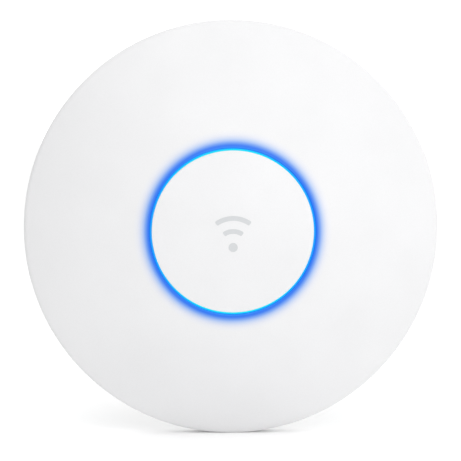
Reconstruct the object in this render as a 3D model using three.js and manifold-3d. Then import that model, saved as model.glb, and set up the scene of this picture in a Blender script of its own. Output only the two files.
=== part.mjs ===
// Round indoor Wi-Fi access point with a lit ring, on its twist-off mounting bracket.
// Millimetres, +Z up. The turning axis is Y: the mounting face lies in the plane y = 0 and looks
// along +Y, the front face looks along -Y, and the cable leaves at the top (+Z).
import * as THREE from "three";
import { mergeVertices } from "three/addons/utils/BufferGeometryUtils.js";
import Module from "manifold-3d";

const wasm = await Module();
wasm.setup();

// ---------------------------------------------------------------- driving dimensions
const OUTER_R = 98.5; // rim of the front cover
const DEPTH = 35; // mounting face to the middle of the centre cap
const WALL = 2.2; // moulded wall of the front cover
const HOUSING_WALL = 2; // moulded wall of the back housing
const GAP = 0.3; // running gap between neighbouring pieces
const SEAT = 0.05; // air under a piece that stands on a board
const ROUND = 48; // facets of the large turned pieces
const FINE = 16; // facets of the small round ones
const DRILLED = 12; // facets of screw holes, shanks and LED windows

// Planes across the axis, as y values, counted from the wall to the front.
const BACK_Y = -1.2; // back of the housing, just off the wall
const BRACKET_Y = -2.5; // front of the bracket's plate
const BRACKET_RIM_Y = -4.5; // front of the bracket's rim
const RECESS_Y = -5.2; // floor of the recess that takes the bracket
const SNAP_Y = -6.4; // middle of the bead that snaps the cover on to the housing
const RIM_FRONT_Y = -8.4; // where the cover's upright rim turns into the dome
const BOARD_Y = -13.4; // back of the main board
const BOARD_T = 1.6;
const BOARD_FRONT_Y = BOARD_Y - BOARD_T;

// The dome is part of a sphere that runs from its apex to just inside the rim.
const DOME_Y = -DEPTH + 0.4; // where the sphere would cross the axis
const DOME_EDGE_R = OUTER_R - 0.9;
const DOME_RISE = RIM_FRONT_Y - 1.06 - DOME_Y;
const DOME_R = (DOME_RISE ** 2 + DOME_EDGE_R ** 2) / (2 * DOME_RISE);

// Centre cap and the lit ring round it.
const CAP_R = 37.5;
const CAP_T = 1.8;
const CAP_CHAMFER = 0.4;
const CAP_FLAT_R = 12; // flat middle that carries the emblem
const CAP_APEX_Y = -DEPTH - sphereY(0, DOME_R, CAP_FLAT_R);
const CAP_EDGE_Y = sphereY(CAP_APEX_Y, DOME_R, CAP_R - CAP_CHAMFER);
const GUIDE_R = CAP_R + 0.9; // outer edge of the light guide
const COVER_HOLE_R = GUIDE_R + GAP;
const LEDGE_R = CAP_R - 9.5;
const LED_CIRCLE_R = CAP_R - 1.3;
const LED_WINDOW_R = 1.9; // round window in the ledge in front of each LED
const LED_HALF = 1.1;
const LED_HEIGHT = 1.3;
const CAP_SCREW_R = CAP_R - 7;
const CAP_SCREW_HOLE_R = 1.25;
const CAP_SCREW_HOLE_Y = CAP_EDGE_Y + 0.8; // blind end of the holes in the cap's posts
const GUIDE_SHELF_Y = CAP_EDGE_Y + CAP_T + 0.52;
const GUIDE_T = 2;
const GUIDE_BACK_Y = GUIDE_SHELF_Y + GUIDE_T;
const LEDGE_T = 1.7; // ledge inside the cover that the guide and the posts stand on
const LEDGE_FRONT_Y = GUIDE_BACK_Y + GAP;
const LEDGE_Y = LEDGE_FRONT_Y + LEDGE_T;
const LED_BOARD_T = 1.2;
const LED_BOARD_FRONT_Y = LEDGE_Y + GAP;
const LED_BOARD_Y = LED_BOARD_FRONT_Y + LED_BOARD_T; // back of the ring board
const EMBLEM_DEPTH = 0.35;
const EMBLEM_MARGIN = 0.15; // air round the print in its pocket

// Bayonet, seen from the front: the access point turns counter-clockwise to come off.
const RECESS_R = 52.9;
const RECESS_OUTER_R = RECESS_R + HOUSING_WALL;
const BRACKET_R = RECESS_R - 2.9;
const BRACKET_RIM_W = 6;
const TAB_R = RECESS_R - 0.5;
const LUG_R = BRACKET_R + 0.4;
const TABS = [45, 135, 225, 315]; // middle angles of the bracket's tabs and the housing's lugs
const TAB_HALF = 12; // degrees
const TAB_STOP = 4; // degrees that each tab's stop reaches past it
const LUG_FRONT_Y = -2.8;
const TAB_BACK_Y = LUG_FRONT_Y - GAP;
const TWIST = 28; // degrees from locked to free
const LEVER_PIVOT = [BRACKET_R - 3.5, -9];
const LEVER_NOSE = [RECESS_R + 1, 1];
const LEVER_POST_R = 1.5;
const BRACKET_HOLES = { pcd: 76, radius: 2.2, facets: 32 };
const BRACKET_WINDOW = { middle: [0, BRACKET_R - 16], width: 40, height: 24, corner: 4 };

// Port bay: a well in the back that holds the two jacks' mouths and the bent cable.
const BAY_X = 26; // half width
const BAY_Z = [20, 59];
const BAY_WALL = 2;
const BAY_OUTER_X = [-BAY_X - BAY_WALL, BAY_X + BAY_WALL];
const BAY_OUTER_Z = [BAY_Z[0] - BAY_WALL, BAY_Z[1] + BAY_WALL];
const JACK_HEIGHT = 11.4;
const JACK_BACK_Y = RECESS_Y - HOUSING_WALL - 0.4;
const JACK_FRONT_Y = JACK_BACK_Y - JACK_HEIGHT;
const JACK_WIDTH = 16;
const JACK_Z = [-3, BAY_Z[0] - 0.4]; // rear wall and mouth
const JACK_MOUTH = { width: 11.9, back: JACK_BACK_Y - 1.3, height: 8.3, depth: 14 };
const JACK_SPACING = JACK_WIDTH + 2;
const JACK_X = { main: -13, secondary: -13 + JACK_SPACING };
const BAY_FLOOR_Y = JACK_FRONT_Y + 0.4;
const BAY_FLOOR_T = 1.3;
const RESET = { x: JACK_X.secondary + JACK_WIDTH / 2 + 7.5, y: -11.4, radius: 1.2 };

// Shallow cable channel from the bay to the exit in the rim.
const HOUSING_R = OUTER_R - WALL - 0.7;
const CHANNEL_X = 9; // half width
const CHANNEL_FLOOR_Y = -9.2;
const CHANNEL_FLOOR_T = 1.6;
const CHANNEL_OUTER_X = [-CHANNEL_X - BAY_WALL, CHANNEL_X + BAY_WALL];
const CHANNEL_CORNER_R = innerDomeR(CHANNEL_FLOOR_Y - CHANNEL_FLOOR_T) - 1.7;
const CHANNEL_Z = Math.sqrt(CHANNEL_CORNER_R ** 2 - CHANNEL_OUTER_X[1] ** 2) - BAY_WALL;
const EXIT_X = 6; // half width of the cable exit through the rim
const EXIT_Y = -7.4;

// Main board and what is screwed to it.
const BOARD_SCREW_R = 61;
const BOARD_SCREW_HOLE_R = 1.8;
const BOARD_SCREW_ANGLES = [30, 150, 225, 315];
const BOARD_R = RECESS_R + 15.1; // room for the power parts outside the recess
const SPREADER_Y = JACK_FRONT_Y - 0.4; // back of the heat spreader
const SPREADER_T = 1.5;
const SPREADER_FRONT_Y = SPREADER_Y - SPREADER_T;
const SPREADER_R = 42;
const SPREADER_FOOT_T = 1.2;
const ANTENNA_R = BOARD_SCREW_R - 3;
const ANTENNAS = {
  "2g": { angles: [5, 175, 285], length: 18, height: 5.4 },
  "5g": { angles: [338, 202, 255], length: 12, height: 4.2 },
};
const CAP_SCREW_ANGLES = [90, 210, 330];
const LED_COUNT = 8;

// Packages on the board: middle [x, z], then width, length and height.
const PROCESSOR = { at: [0, -24], width: 17, length: 17, height: 1.8 };
const MEMORY = { at: [0, -10], width: 12, length: 7, height: 1.2 };
const RADIO_X = { "2g": -27, "5g": 27 };
const RADIO_Z = -18;
const RADIO_CHIP = { width: 9, length: 9, height: 0.9 };
const SHIELD = { width: 24, length: 20, height: 3.4, sheet: 0.4 };
const JACK_TRANSFORMER = { z: -12, width: 15, length: 10, height: 5.2 };
const POWER_TRANSFORMER = { at: [-7.6 - RECESS_R, 12], width: 11, length: 11, height: 8 };
const POWER_CAPACITOR = { at: [-7.1 - RECESS_R, -7], radius: 4, height: 8 };
const RIBBON_SOCKET = { at: [0, -10.5 - CAP_R], width: 8, length: 3.4, height: 2.4 };
const RIBBON = { width: 6, thickness: 0.3, steps: 12 };
const PADS = { processor: 15, radio: 14 }; // square thermal pads
const LABEL = { width: 44, height: 16, corner: 2, z: -(HOUSING_R + RECESS_R) / 2 - 1.75 };

// ---------------------------------------------------------------- finishes
function finish(color, roughness, metalness = 0) {
  return new THREE.MeshStandardMaterial({ color, roughness, metalness });
}

const FINISH = {
  whitePlastic: finish(0xf2f3f3, 0.55),
  printGrey: finish(0xdcdee0, 0.6),
  clearAcrylic: finish(0x49b4f5, 0.25),
  backPlastic: finish(0xe6e7e8, 0.6),
  bracketPlastic: finish(0xdfe1e2, 0.6),
  label: finish(0xf7f7f4, 0.7),
  circuitBoard: finish(0x1e5a38, 0.5),
  whiteBoard: finish(0xeceeea, 0.5),
  led: finish(0xf6f3d8, 0.3),
  chip: finish(0x1b1c1e, 0.5),
  nickel: finish(0xb9bcbe, 0.3, 1),
  tinplate: finish(0xc3c6c7, 0.35, 1),
  aluminium: finish(0xc8cacc, 0.4, 1),
  steel: finish(0x9da0a3, 0.35, 1),
  gold: finish(0xd9b25a, 0.25, 1),
  thermalPad: finish(0x8fa3b8, 0.9),
  copperWound: finish(0x2b2b2d, 0.6),
  capacitor: finish(0x2a3038, 0.35, 0.4),
  socket: finish(0xe9e4d4, 0.5),
  ribbon: finish(0xb9824a, 0.45),
  button: finish(0x3a3c3f, 0.5),
};

// ---------------------------------------------------------------- solids from geometry
/** A closed three.js geometry as a solid that can be joined and cut. */
function solid(geometry) {
  const bare = geometry.index ? geometry.toNonIndexed() : geometry.clone();
  bare.deleteAttribute("normal");
  bare.deleteAttribute("uv");
  const merged = mergeVertices(bare, 1e-4);
  const triVerts = new Uint32Array(merged.index.array);
  const vertProperties = merged.attributes.position.array;
  const made = new wasm.Manifold(new wasm.Mesh({ numProp: 3, vertProperties, triVerts }));
  if (made.volume() > 0) return made;
  triVerts.reverse(); // the outline ran the other way round, so its faces looked inwards
  return new wasm.Manifold(new wasm.Mesh({ numProp: 3, vertProperties, triVerts }));
}

/** A named mesh from a solid. */
function piece(name, body, material) {
  const { vertProperties, triVerts } = body.getMesh();
  const geometry = new THREE.BufferGeometry();
  geometry.setAttribute("position", new THREE.BufferAttribute(vertProperties, 3));
  geometry.setIndex(new THREE.BufferAttribute(triVerts, 1));
  const flat = geometry.toNonIndexed();
  flat.computeVertexNormals();
  const mesh = new THREE.Mesh(flat, material);
  mesh.name = name;
  return mesh;
}

/** Ring or disc turned about the Y axis from a closed outline of [radius, y] points. */
function turned(outline, facets = ROUND) {
  const points = outline.map(([r, y]) => new THREE.Vector2(r, y));
  if (outline[0][0] > 0) points.push(points[0].clone());
  return solid(new THREE.LatheGeometry(points, facets));
}

/** Plain ring between two radii and two planes. */
function ring(inner, outer, y0, y1, facets = ROUND) {
  return turned([[inner, y0], [outer, y0], [outer, y1], [inner, y1]], facets);
}

/** Box between two corners given as x, y and z ranges. */
function block([x0, x1], [y0, y1], [z0, z1]) {
  const box = new THREE.BoxGeometry(Math.abs(x1 - x0), Math.abs(y1 - y0), Math.abs(z1 - z0));
  return solid(box.translate((x0 + x1) / 2, (y0 + y1) / 2, (z0 + z1) / 2));
}

/** Pin along the Y axis. */
function pinY(radius, [x, z], [y0, y1], facets = FINE) {
  const pin = new THREE.CylinderGeometry(radius, radius, Math.abs(y1 - y0), facets);
  return solid(pin.translate(x, (y0 + y1) / 2, z));
}

/** Pin along the Z axis. */
function pinZ(radius, [x, y], [z0, z1], facets = FINE) {
  const pin = new THREE.CylinderGeometry(radius, radius, Math.abs(z1 - z0), facets);
  return solid(pin.rotateX(Math.PI / 2).translate(x, y, (z0 + z1) / 2));
}

/** Flat outline in the X-Z plane, given thickness from plane y0 to plane y1 in front of it. */
function plate(shape, y0, y1, curveSegments = 12) {
  const depth = y0 - y1;
  const slab = new THREE.ExtrudeGeometry(shape, { depth, bevelEnabled: false, curveSegments });
  return solid(slab.rotateX(Math.PI / 2).translate(0, y0, 0));
}

const radians = THREE.MathUtils.degToRad;

/** Point at a radius and an angle, counted from +X towards +Z. */
function polar(radius, degrees) {
  return [radius * Math.cos(radians(degrees)), radius * Math.sin(radians(degrees))];
}

/** Arc-shaped block between two radii and two angles. */
function sector(inner, outer, from, to, y0, y1) {
  const shape = new THREE.Shape();
  shape.absarc(0, 0, outer, radians(from), radians(to), false);
  shape.absarc(0, 0, inner, radians(to), radians(from), true);
  shape.closePath();
  return plate(shape, y0, y1, 8);
}

/** Box given in the direction of an angle: along the radius, across it, and by planes. */
function radialBlock(degrees, [r0, r1], [y0, y1], halfWidth) {
  const box = new THREE.BoxGeometry(r1 - r0, Math.abs(y1 - y0), 2 * halfWidth);
  box.translate((r0 + r1) / 2, (y0 + y1) / 2, 0);
  return solid(box.rotateY(-radians(degrees)));
}

/** Rectangle with rounded corners round a middle point. */
function roundedRectangle([x, z], width, height, corner) {
  const [x0, x1] = [x - width / 2 + corner, x + width / 2 - corner];
  const [z0, z1] = [z - height / 2 + corner, z + height / 2 - corner];
  const shape = new THREE.Shape();
  shape.absarc(x1, z1, corner, 0, Math.PI / 2, false);
  shape.absarc(x0, z1, corner, Math.PI / 2, Math.PI, false);
  shape.absarc(x0, z0, corner, Math.PI, 1.5 * Math.PI, false);
  shape.absarc(x1, z0, corner, 1.5 * Math.PI, 2 * Math.PI, false);
  shape.closePath();
  return shape;
}

/** All the solids of a list joined into one. */
function join(bodies) {
  return bodies.reduce((sum, body) => sum.add(body));
}

/** A solid with every solid of a list cut from it. */
function cut(body, tools) {
  return tools.reduce((rest, tool) => rest.subtract(tool), body);
}

/** Height of a sphere round the dome's centre, at a radius from the axis. */
function sphereY(apex, radius, r) {
  return apex + radius - Math.sqrt(radius * radius - r * r);
}

/** Radius at which the cover's inner face comes down to a plane. */
function innerDomeR(y) {
  return Math.sqrt((DOME_R - WALL) ** 2 - (DOME_Y + DOME_R - y) ** 2);
}

/** Points of such a sphere from one radius to another. */
function sphereArc(apex, radius, from, to, steps) {
  return Array.from({ length: steps + 1 }, (_, i) => {
    const r = from + ((to - from) * i) / steps;
    return [r, sphereY(apex, radius, r)];
  });
}

// ---------------------------------------------------------------- front
/** Dome with its rim, snap bead, the hole for the lit ring and the ledge behind it. */
function frontCover() {
  const innerR = OUTER_R - WALL;
  const collarR = COVER_HOLE_R + WALL;
  const beadR = innerR - 1; // snaps into the housing's groove
  const shell = turned([
    ...sphereArc(DOME_Y, DOME_R, COVER_HOLE_R, DOME_EDGE_R, 8),
    [OUTER_R - 0.3, RIM_FRONT_Y - 0.6],
    [OUTER_R, RIM_FRONT_Y],
    [OUTER_R, BACK_Y - 0.6],
    [OUTER_R - 0.5, BACK_Y],
    [innerR, BACK_Y],
    [innerR, SNAP_Y + 0.8],
    [beadR, SNAP_Y + 0.3],
    [beadR, SNAP_Y - 0.3],
    [innerR, SNAP_Y - 0.8],
    ...sphereArc(DOME_Y + WALL, DOME_R - WALL, innerR - 0.2, collarR, 4),
    [collarR, LEDGE_Y],
    [LEDGE_R, LEDGE_Y],
    [LEDGE_R, LEDGE_FRONT_Y],
    [COVER_HOLE_R, LEDGE_FRONT_Y],
  ]);
  const through = [LEDGE_Y + 1, LEDGE_FRONT_Y - 1];
  const exit = block([-EXIT_X, EXIT_X], [1, EXIT_Y], [HOUSING_R - 3, OUTER_R + 2]);
  return cut(shell, [
    exit,
    ...ledAngles().map((angle) => pinY(LED_WINDOW_R, polar(LED_CIRCLE_R, angle), through, DRILLED)),
    ...capScrewHoles(through),
  ]);
}

/** Pins as wide as the cap's screw holes, for cutting them out of a piece. */
function capScrewHoles(span) {
  return CAP_SCREW_ANGLES.map((angle) =>
    pinY(CAP_SCREW_HOLE_R, polar(CAP_SCREW_R, angle), span, DRILLED),
  );
}

/** Slightly domed disc that covers the middle, with three screw posts behind it. */
function centreCap() {
  const flatY = -DEPTH;
  const disc = turned([
    [0, flatY],
    ...sphereArc(CAP_APEX_Y, DOME_R, CAP_FLAT_R, CAP_R - CAP_CHAMFER, 3),
    [CAP_R, CAP_EDGE_Y + CAP_CHAMFER],
    [CAP_R, CAP_EDGE_Y + CAP_T],
    ...sphereArc(CAP_APEX_Y + CAP_T, DOME_R, CAP_R - 0.6, CAP_FLAT_R, 2),
    [0, flatY + CAP_T],
  ]);
  const postR = 2.6;
  const postY = [LEDGE_FRONT_Y - 0.1, CAP_EDGE_Y - 0.2];
  const posts = CAP_SCREW_ANGLES.map((angle) => pinY(postR, polar(CAP_SCREW_R, angle), postY));
  const pocketY = flatY + EMBLEM_DEPTH + SEAT;
  const pockets = emblemShapes(EMBLEM_MARGIN).map(([, shape]) => plate(shape, pocketY, flatY - 1));
  const screwHoles = capScrewHoles([LEDGE_FRONT_Y + 1, CAP_SCREW_HOLE_Y]);
  return cut(join([disc, ...posts]), [...screwHoles, ...pockets]);
}

/** Neutral signal mark: a dot with two arcs above it, each grown by a margin all round. */
function emblemShapes(margin) {
  const foot = -7; // height of the dot's middle below the cap's middle
  const dot = new THREE.Shape();
  dot.absarc(0, foot, 2.1 + margin, 0, 2 * Math.PI, false);
  const arc = (radius) => {
    const half = 1.1 + margin;
    const spread = radians(36) + margin / radius;
    const shape = new THREE.Shape();
    shape.absarc(0, foot, radius + half, Math.PI / 2 - spread, Math.PI / 2 + spread, false);
    shape.absarc(0, foot, radius - half, Math.PI / 2 + spread, Math.PI / 2 - spread, true);
    shape.closePath();
    return shape;
  };
  return [["emblem_dot", dot], ["emblem_inner_arc", arc(7.4)], ["emblem_outer_arc", arc(13.4)]];
}

/** Clear ring with an L section: its outer lip is the line that lights up round the cap. */
function lightGuide() {
  const lipY = sphereY(DOME_Y, DOME_R, GUIDE_R) - 0.1;
  const inner = LED_CIRCLE_R - LED_WINDOW_R;
  const lipR = CAP_R + 0.25;
  return turned([
    [inner, GUIDE_BACK_Y],
    [GUIDE_R, GUIDE_BACK_Y],
    [GUIDE_R, lipY],
    [lipR, lipY],
    [lipR, GUIDE_SHELF_Y],
    [inner, GUIDE_SHELF_Y],
  ]);
}

/** Angles of the LEDs, spread evenly and clear of the cap's screws. */
function ledAngles() {
  return Array.from({ length: LED_COUNT }, (_, i) => (360 * (i + 0.5)) / LED_COUNT);
}

/** Ring-shaped board behind the ledge that carries the LEDs. */
function ledBoard() {
  const disc = ring(LEDGE_R - 0.5, CAP_R + 2.5, LED_BOARD_Y, LED_BOARD_FRONT_Y);
  return cut(disc, capScrewHoles([LED_BOARD_Y + 1, LED_BOARD_FRONT_Y - 1]));
}

/** Cross-head screw along Y: seatY is the plane under its head, tipY the end of its shank. */
function screw([x, z], seatY, tipY, { headR, headT, shankR }) {
  const side = Math.sign(seatY - tipY);
  const top = seatY + side * headT;
  const head = pinY(headR, [x, z], [seatY, top]);
  const shank = pinY(shankR, [x, z], [seatY + side * 0.2 * headT, tipY], DRILLED);
  const cross = [0, 90].map((turn) => {
    const slot = new THREE.BoxGeometry(headR * 1.3, headT * 1.1, headR * 0.3);
    return solid(slot.rotateY(radians(turn)).translate(x, top, z));
  });
  return cut(head.add(shank), cross);
}

// ---------------------------------------------------------------- electronics
/** Round board with a bay notch at the top and the cut-out that the jacks sink into. */
function mainBoard() {
  const disc = turned([[0, BOARD_Y], [BOARD_R, BOARD_Y], [BOARD_R, BOARD_FRONT_Y], [0, BOARD_FRONT_Y]]);
  const span = [BOARD_Y + 1, BOARD_FRONT_Y - 1];
  const bayMargin = 0.7;
  const jackMargin = 0.4;
  const notchX = BAY_OUTER_X[1] + bayMargin;
  const jackSide = JACK_WIDTH / 2 + jackMargin;
  return cut(disc, [
    block([-notchX, notchX], span, [BAY_OUTER_Z[0] - jackMargin, BOARD_R + 1]),
    block([JACK_X.main - jackSide, JACK_X.secondary + jackSide], span, [JACK_Z[0] - jackMargin, BAY_Z[0]]),
    ...boardScrewHoles(span),
  ]);
}

/** Pins as wide as the board's screw holes, for cutting them out of a piece. */
function boardScrewHoles(span) {
  return BOARD_SCREW_ANGLES.map((angle) =>
    pinY(BOARD_SCREW_HOLE_R, polar(BOARD_SCREW_R, angle), span, DRILLED),
  );
}

/** Plated jack shell with its mouth, latch notch and the tab that is soldered to the board. */
function ethernetJack(x) {
  const half = JACK_WIDTH / 2;
  const mouthHalf = JACK_MOUTH.width / 2;
  const mouthFrontY = JACK_MOUTH.back - JACK_MOUTH.height;
  const mouthZ = [JACK_Z[1] - JACK_MOUTH.depth, JACK_Z[1] + 1];
  const latchHalf = 3;
  const shell = block([x - half, x + half], [JACK_BACK_Y, JACK_FRONT_Y], JACK_Z);
  const tabY = [BOARD_FRONT_Y - SEAT, BOARD_FRONT_Y - 0.7];
  const tab = block([x - 5, x + 5], tabY, [JACK_Z[0] - 3, JACK_Z[0] + 1]);
  return cut(shell.add(tab), [
    block([x - mouthHalf, x + mouthHalf], [JACK_MOUTH.back, mouthFrontY], mouthZ),
    block([x - latchHalf, x + latchHalf], [mouthFrontY, mouthFrontY - 1], mouthZ),
  ]);
}

/** The eight spring contacts of a jack on the bar that holds them. */
function jackContacts(x) {
  const pitch = 1.02;
  const barHalf = 4.6;
  const bar = { z: JACK_Z[1] - JACK_MOUTH.depth + GAP, y: JACK_MOUTH.back - GAP, depth: 1.6, length: 2 };
  const wire = { width: 0.45, thickness: 0.4, length: 7.5, lean: 14 };
  const holder = block([x - barHalf, x + barHalf], [bar.y, bar.y - bar.depth], [bar.z, bar.z + bar.length]);
  const wires = Array.from({ length: 8 }, (_, i) => {
    const strip = new THREE.BoxGeometry(wire.width, wire.thickness, wire.length);
    strip.translate(0, 0, wire.length / 2).rotateX(radians(wire.lean));
    return solid(strip.translate(x + (i - 3.5) * pitch, bar.y - 1.1, bar.z + 1.2));
  });
  return join([holder, ...wires]);
}

/** Five-sided sheet-metal can, open towards the board. */
function shieldCan([x, z]) {
  const { width, length, height, sheet } = SHIELD;
  const frontY = BOARD_FRONT_Y - height;
  const box = (inset, y0, y1) =>
    block(
      [x - width / 2 + inset, x + width / 2 - inset],
      [y0, y1],
      [z - length / 2 + inset, z + length / 2 - inset],
    );
  return box(0, BOARD_FRONT_Y - SEAT, frontY).subtract(box(sheet, BOARD_FRONT_Y + 1, frontY + sheet));
}

/** Package that stands on the front or the back of the main board. */
function onBoard([x, z], { width, length, height }, behind = false) {
  const seat = behind ? BOARD_Y + SEAT : BOARD_FRONT_Y - SEAT;
  const top = behind ? BOARD_Y + height : BOARD_FRONT_Y - height;
  return block([x - width / 2, x + width / 2], [seat, top], [z - length / 2, z + length / 2]);
}

/** Square thermal pad between a package of a given height and the heat spreader. */
function thermalPad([x, z], side, height) {
  const span = [BOARD_FRONT_Y - height - SEAT, SPREADER_Y + SEAT];
  return block([x - side / 2, x + side / 2], span, [z - side / 2, z + side / 2]);
}

/** Bent sheet antenna: a roof strip on a short leg and a feed leg. */
function antenna(angle, { length, height }) {
  const sheet = 0.5;
  const roofWidth = 5;
  const legWidth = 3;
  const roofY = BOARD_FRONT_Y - height;
  const half = length / 2;
  const strip = new THREE.BoxGeometry(roofWidth, sheet, length).translate(0, roofY + sheet / 2, 0);
  const leg = (z) => {
    const box = new THREE.BoxGeometry(legWidth, height - SEAT, sheet);
    return box.translate(0, BOARD_FRONT_Y - SEAT - (height - SEAT) / 2, z);
  };
  const place = (geometry) => solid(geometry.translate(ANTENNA_R, 0, 0).rotateY(-radians(angle)));
  return join([strip, leg(half - sheet / 2), leg(half - length / 4)].map(place));
}

/** Aluminium plate over the chips, with four arms whose feet lie under the board's screws. */
function heatSpreader() {
  const plateY = [SPREADER_Y, SPREADER_FRONT_Y];
  const footY = [BOARD_FRONT_Y - SEAT, BOARD_FRONT_Y - SPREADER_FOOT_T];
  const halfWidth = 4.5;
  const stepR = [BOARD_SCREW_R - 8.5, BOARD_SCREW_R - 7]; // where each arm drops to the board
  const bayX = BAY_OUTER_X[1] + 1;
  const bay = block([-bayX, bayX], [SPREADER_Y + 2, SPREADER_FRONT_Y - 2], [BAY_OUTER_Z[0] - 1, BOARD_R]);
  const arms = BOARD_SCREW_ANGLES.flatMap((angle) => [
    radialBlock(angle, [SPREADER_R - 5, stepR[1]], plateY, halfWidth),
    radialBlock(angle, stepR, [footY[0], SPREADER_FRONT_Y], halfWidth),
    radialBlock(angle, [stepR[0], BOARD_SCREW_R + 4], footY, halfWidth),
  ]);
  const disc = pinY(SPREADER_R, [0, 0], plateY, ROUND);
  return cut(join([disc.subtract(bay), ...arms]), boardScrewHoles([BOARD_Y, SPREADER_FRONT_Y - 1]));
}

/** Flat cable from the ring board round the spreader's edge to its socket on the main board. */
function ledRibbon() {
  const { width, thickness, steps } = RIBBON;
  const halfT = thickness / 2;
  const socketZ = RIBBON_SOCKET.at[1];
  const route = new THREE.CatmullRomCurve3(
    [
      [3.5 - CAP_R, LED_BOARD_Y + 0.4],
      [-CAP_R, LED_BOARD_Y + 0.4],
      [-4 - CAP_R, LED_BOARD_Y + 0.9],
      [socketZ + 1.6, SPREADER_FRONT_Y - 0.7],
      [socketZ, BOARD_FRONT_Y - RIBBON_SOCKET.height - GAP],
    ].map(([z, y]) => new THREE.Vector3(z, y, 0)),
  );
  const edge = (side) =>
    Array.from({ length: steps + 1 }, (_, i) => {
      const at = route.getPointAt(i / steps);
      const along = route.getTangentAt(i / steps);
      return new THREE.Vector2(at.x - side * halfT * along.y, at.y + side * halfT * along.x);
    });
  const outline = new THREE.Shape([...edge(1), ...edge(-1).reverse()]);
  const band = new THREE.ExtrudeGeometry(outline, { depth: width, bevelEnabled: false });
  return solid(band.rotateY(-Math.PI / 2).translate(width / 2, 0, 0));
}

// ---------------------------------------------------------------- back
/** Back shell: recess with bayonet lugs, skirt of the port bay, slot for the cable, board posts. */
function backHousing() {
  const backInnerY = BACK_Y - HOUSING_WALL;
  const floorInnerY = RECESS_Y - HOUSING_WALL;
  const groove = 0.6; // takes the cover's snap bead
  const edge = 0.4;
  const edgeY = SNAP_Y - 1.2;
  const dish = turned([
    [0, RECESS_Y],
    [RECESS_R, RECESS_Y],
    [RECESS_R, BACK_Y],
    [HOUSING_R, BACK_Y],
    [HOUSING_R, SNAP_Y + 0.9],
    [HOUSING_R - groove, SNAP_Y + 0.5],
    [HOUSING_R - groove, SNAP_Y - 0.5],
    [HOUSING_R, SNAP_Y - 0.8],
    [HOUSING_R - edge, edgeY],
    [HOUSING_R - HOUSING_WALL, edgeY],
    [HOUSING_R - HOUSING_WALL, backInnerY],
    [RECESS_OUTER_R, backInnerY],
    [RECESS_OUTER_R, floorInnerY],
    [0, floorInnerY],
  ]);
  const lugs = TABS.map((angle) =>
    sector(LUG_R, RECESS_R + 1, angle - TAB_HALF, angle + TAB_HALF, BACK_Y, LUG_FRONT_Y),
  );
  const noseAngle = THREE.MathUtils.radToDeg(Math.atan2(LEVER_NOSE[1], LEVER_NOSE[0]));
  const notchBoss = sector(
    RECESS_R + 1, RECESS_OUTER_R + 2, noseAngle - TWIST - 6, noseAngle + 7, BACK_Y, floorInnerY,
  );
  const recessClear = pinY(RECESS_R, [0, 0], [1, RECESS_Y], ROUND);
  const skirt = block(BAY_OUTER_X, [BACK_Y, floorInnerY], BAY_OUTER_Z).subtract(recessClear);
  const bossR = 3.4;
  const bosses = BOARD_SCREW_ANGLES.map((angle) =>
    pinY(bossR, polar(BOARD_SCREW_R, angle), [backInnerY + 0.5, BOARD_Y + 0.1]).subtract(recessClear),
  );
  const slotToEdge = block([-CHANNEL_X, CHANNEL_X], [1, CHANNEL_FLOOR_Y], [CHANNEL_Z - 1, OUTER_R]);
  const opened = cut(join([dish, skirt, notchBoss, ...bosses]), [
    ...cableClearance(),
    slotToEdge,
    ...boardScrewHoles([floorInnerY + 0.7, BOARD_Y - 1]),
    leverNotch(noseAngle),
  ]);
  return join([opened, ...lugs]);
}

/** The free space of the port bay, of the cable channel above it and of the exit in the rim. */
function cableClearance() {
  return [
    block([-BAY_X, BAY_X], [1, BAY_FLOOR_Y], BAY_Z),
    block([-CHANNEL_X, CHANNEL_X], [1, CHANNEL_FLOOR_Y], [BAY_Z[1] - 1, CHANNEL_Z]),
    block([-EXIT_X, EXIT_X], [1, EXIT_Y], [CHANNEL_Z - 1, OUTER_R]),
  ];
}

/** Tray in front of the bay's skirt: floor, side walls and the end wall that frames the jacks. */
function portBayTray() {
  const backY = RECESS_Y - HOUSING_WALL - GAP;
  const tray = block(BAY_OUTER_X, [backY, BAY_FLOOR_Y - BAY_FLOOR_T], BAY_OUTER_Z);
  const endWall = [BAY_OUTER_Z[0] - 2, BAY_Z[0] + 1];
  const side = JACK_WIDTH / 2 + GAP;
  const jackWindows = Object.values(JACK_X).map((x) =>
    block([x - side, x + side], [JACK_BACK_Y + 1, JACK_FRONT_Y - GAP], endWall),
  );
  const buttonHole = pinZ(RESET.radius + GAP, [RESET.x, RESET.y], endWall);
  return cut(tray, [...cableClearance(), ...jackWindows, buttonHole]);
}

/** Trough inside the housing's cable slot: floor, side walls and the end wall with the exit. */
function cableTrough() {
  const y = [BACK_Y - HOUSING_WALL - GAP, CHANNEL_FLOOR_Y - CHANNEL_FLOOR_T];
  const trough = block(CHANNEL_OUTER_X, y, [BAY_OUTER_Z[1] + GAP, CHANNEL_Z + BAY_WALL]);
  const recess = pinY(RECESS_OUTER_R + GAP, [0, 0], [1, RECESS_Y - HOUSING_WALL - GAP], ROUND);
  return cut(trough, [...cableClearance(), recess]);
}

/** Notch for the lever's nose: a steep end, then a ramp that runs out over the whole twist. */
function leverNotch(noseAngle) {
  const deepest = LEVER_NOSE[0] + 0.4;
  const mouthR = RECESS_R - 1.5;
  const lead = 3; // degrees of steep end past the nose
  const steps = 8;
  const shape = new THREE.Shape();
  shape.moveTo(...polar(mouthR, noseAngle + lead));
  for (let i = 0; i <= steps; i++) {
    const angle = noseAngle + lead - (i / steps) * (TWIST + lead);
    const ramp = Math.max(0, (noseAngle - angle) / TWIST);
    shape.lineTo(...polar(deepest - ramp * (deepest - RECESS_R - 0.1), angle));
  }
  shape.lineTo(...polar(mouthR, noseAngle - TWIST));
  shape.closePath();
  return plate(shape, LUG_FRONT_Y - 0.1, RECESS_Y);
}

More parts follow.
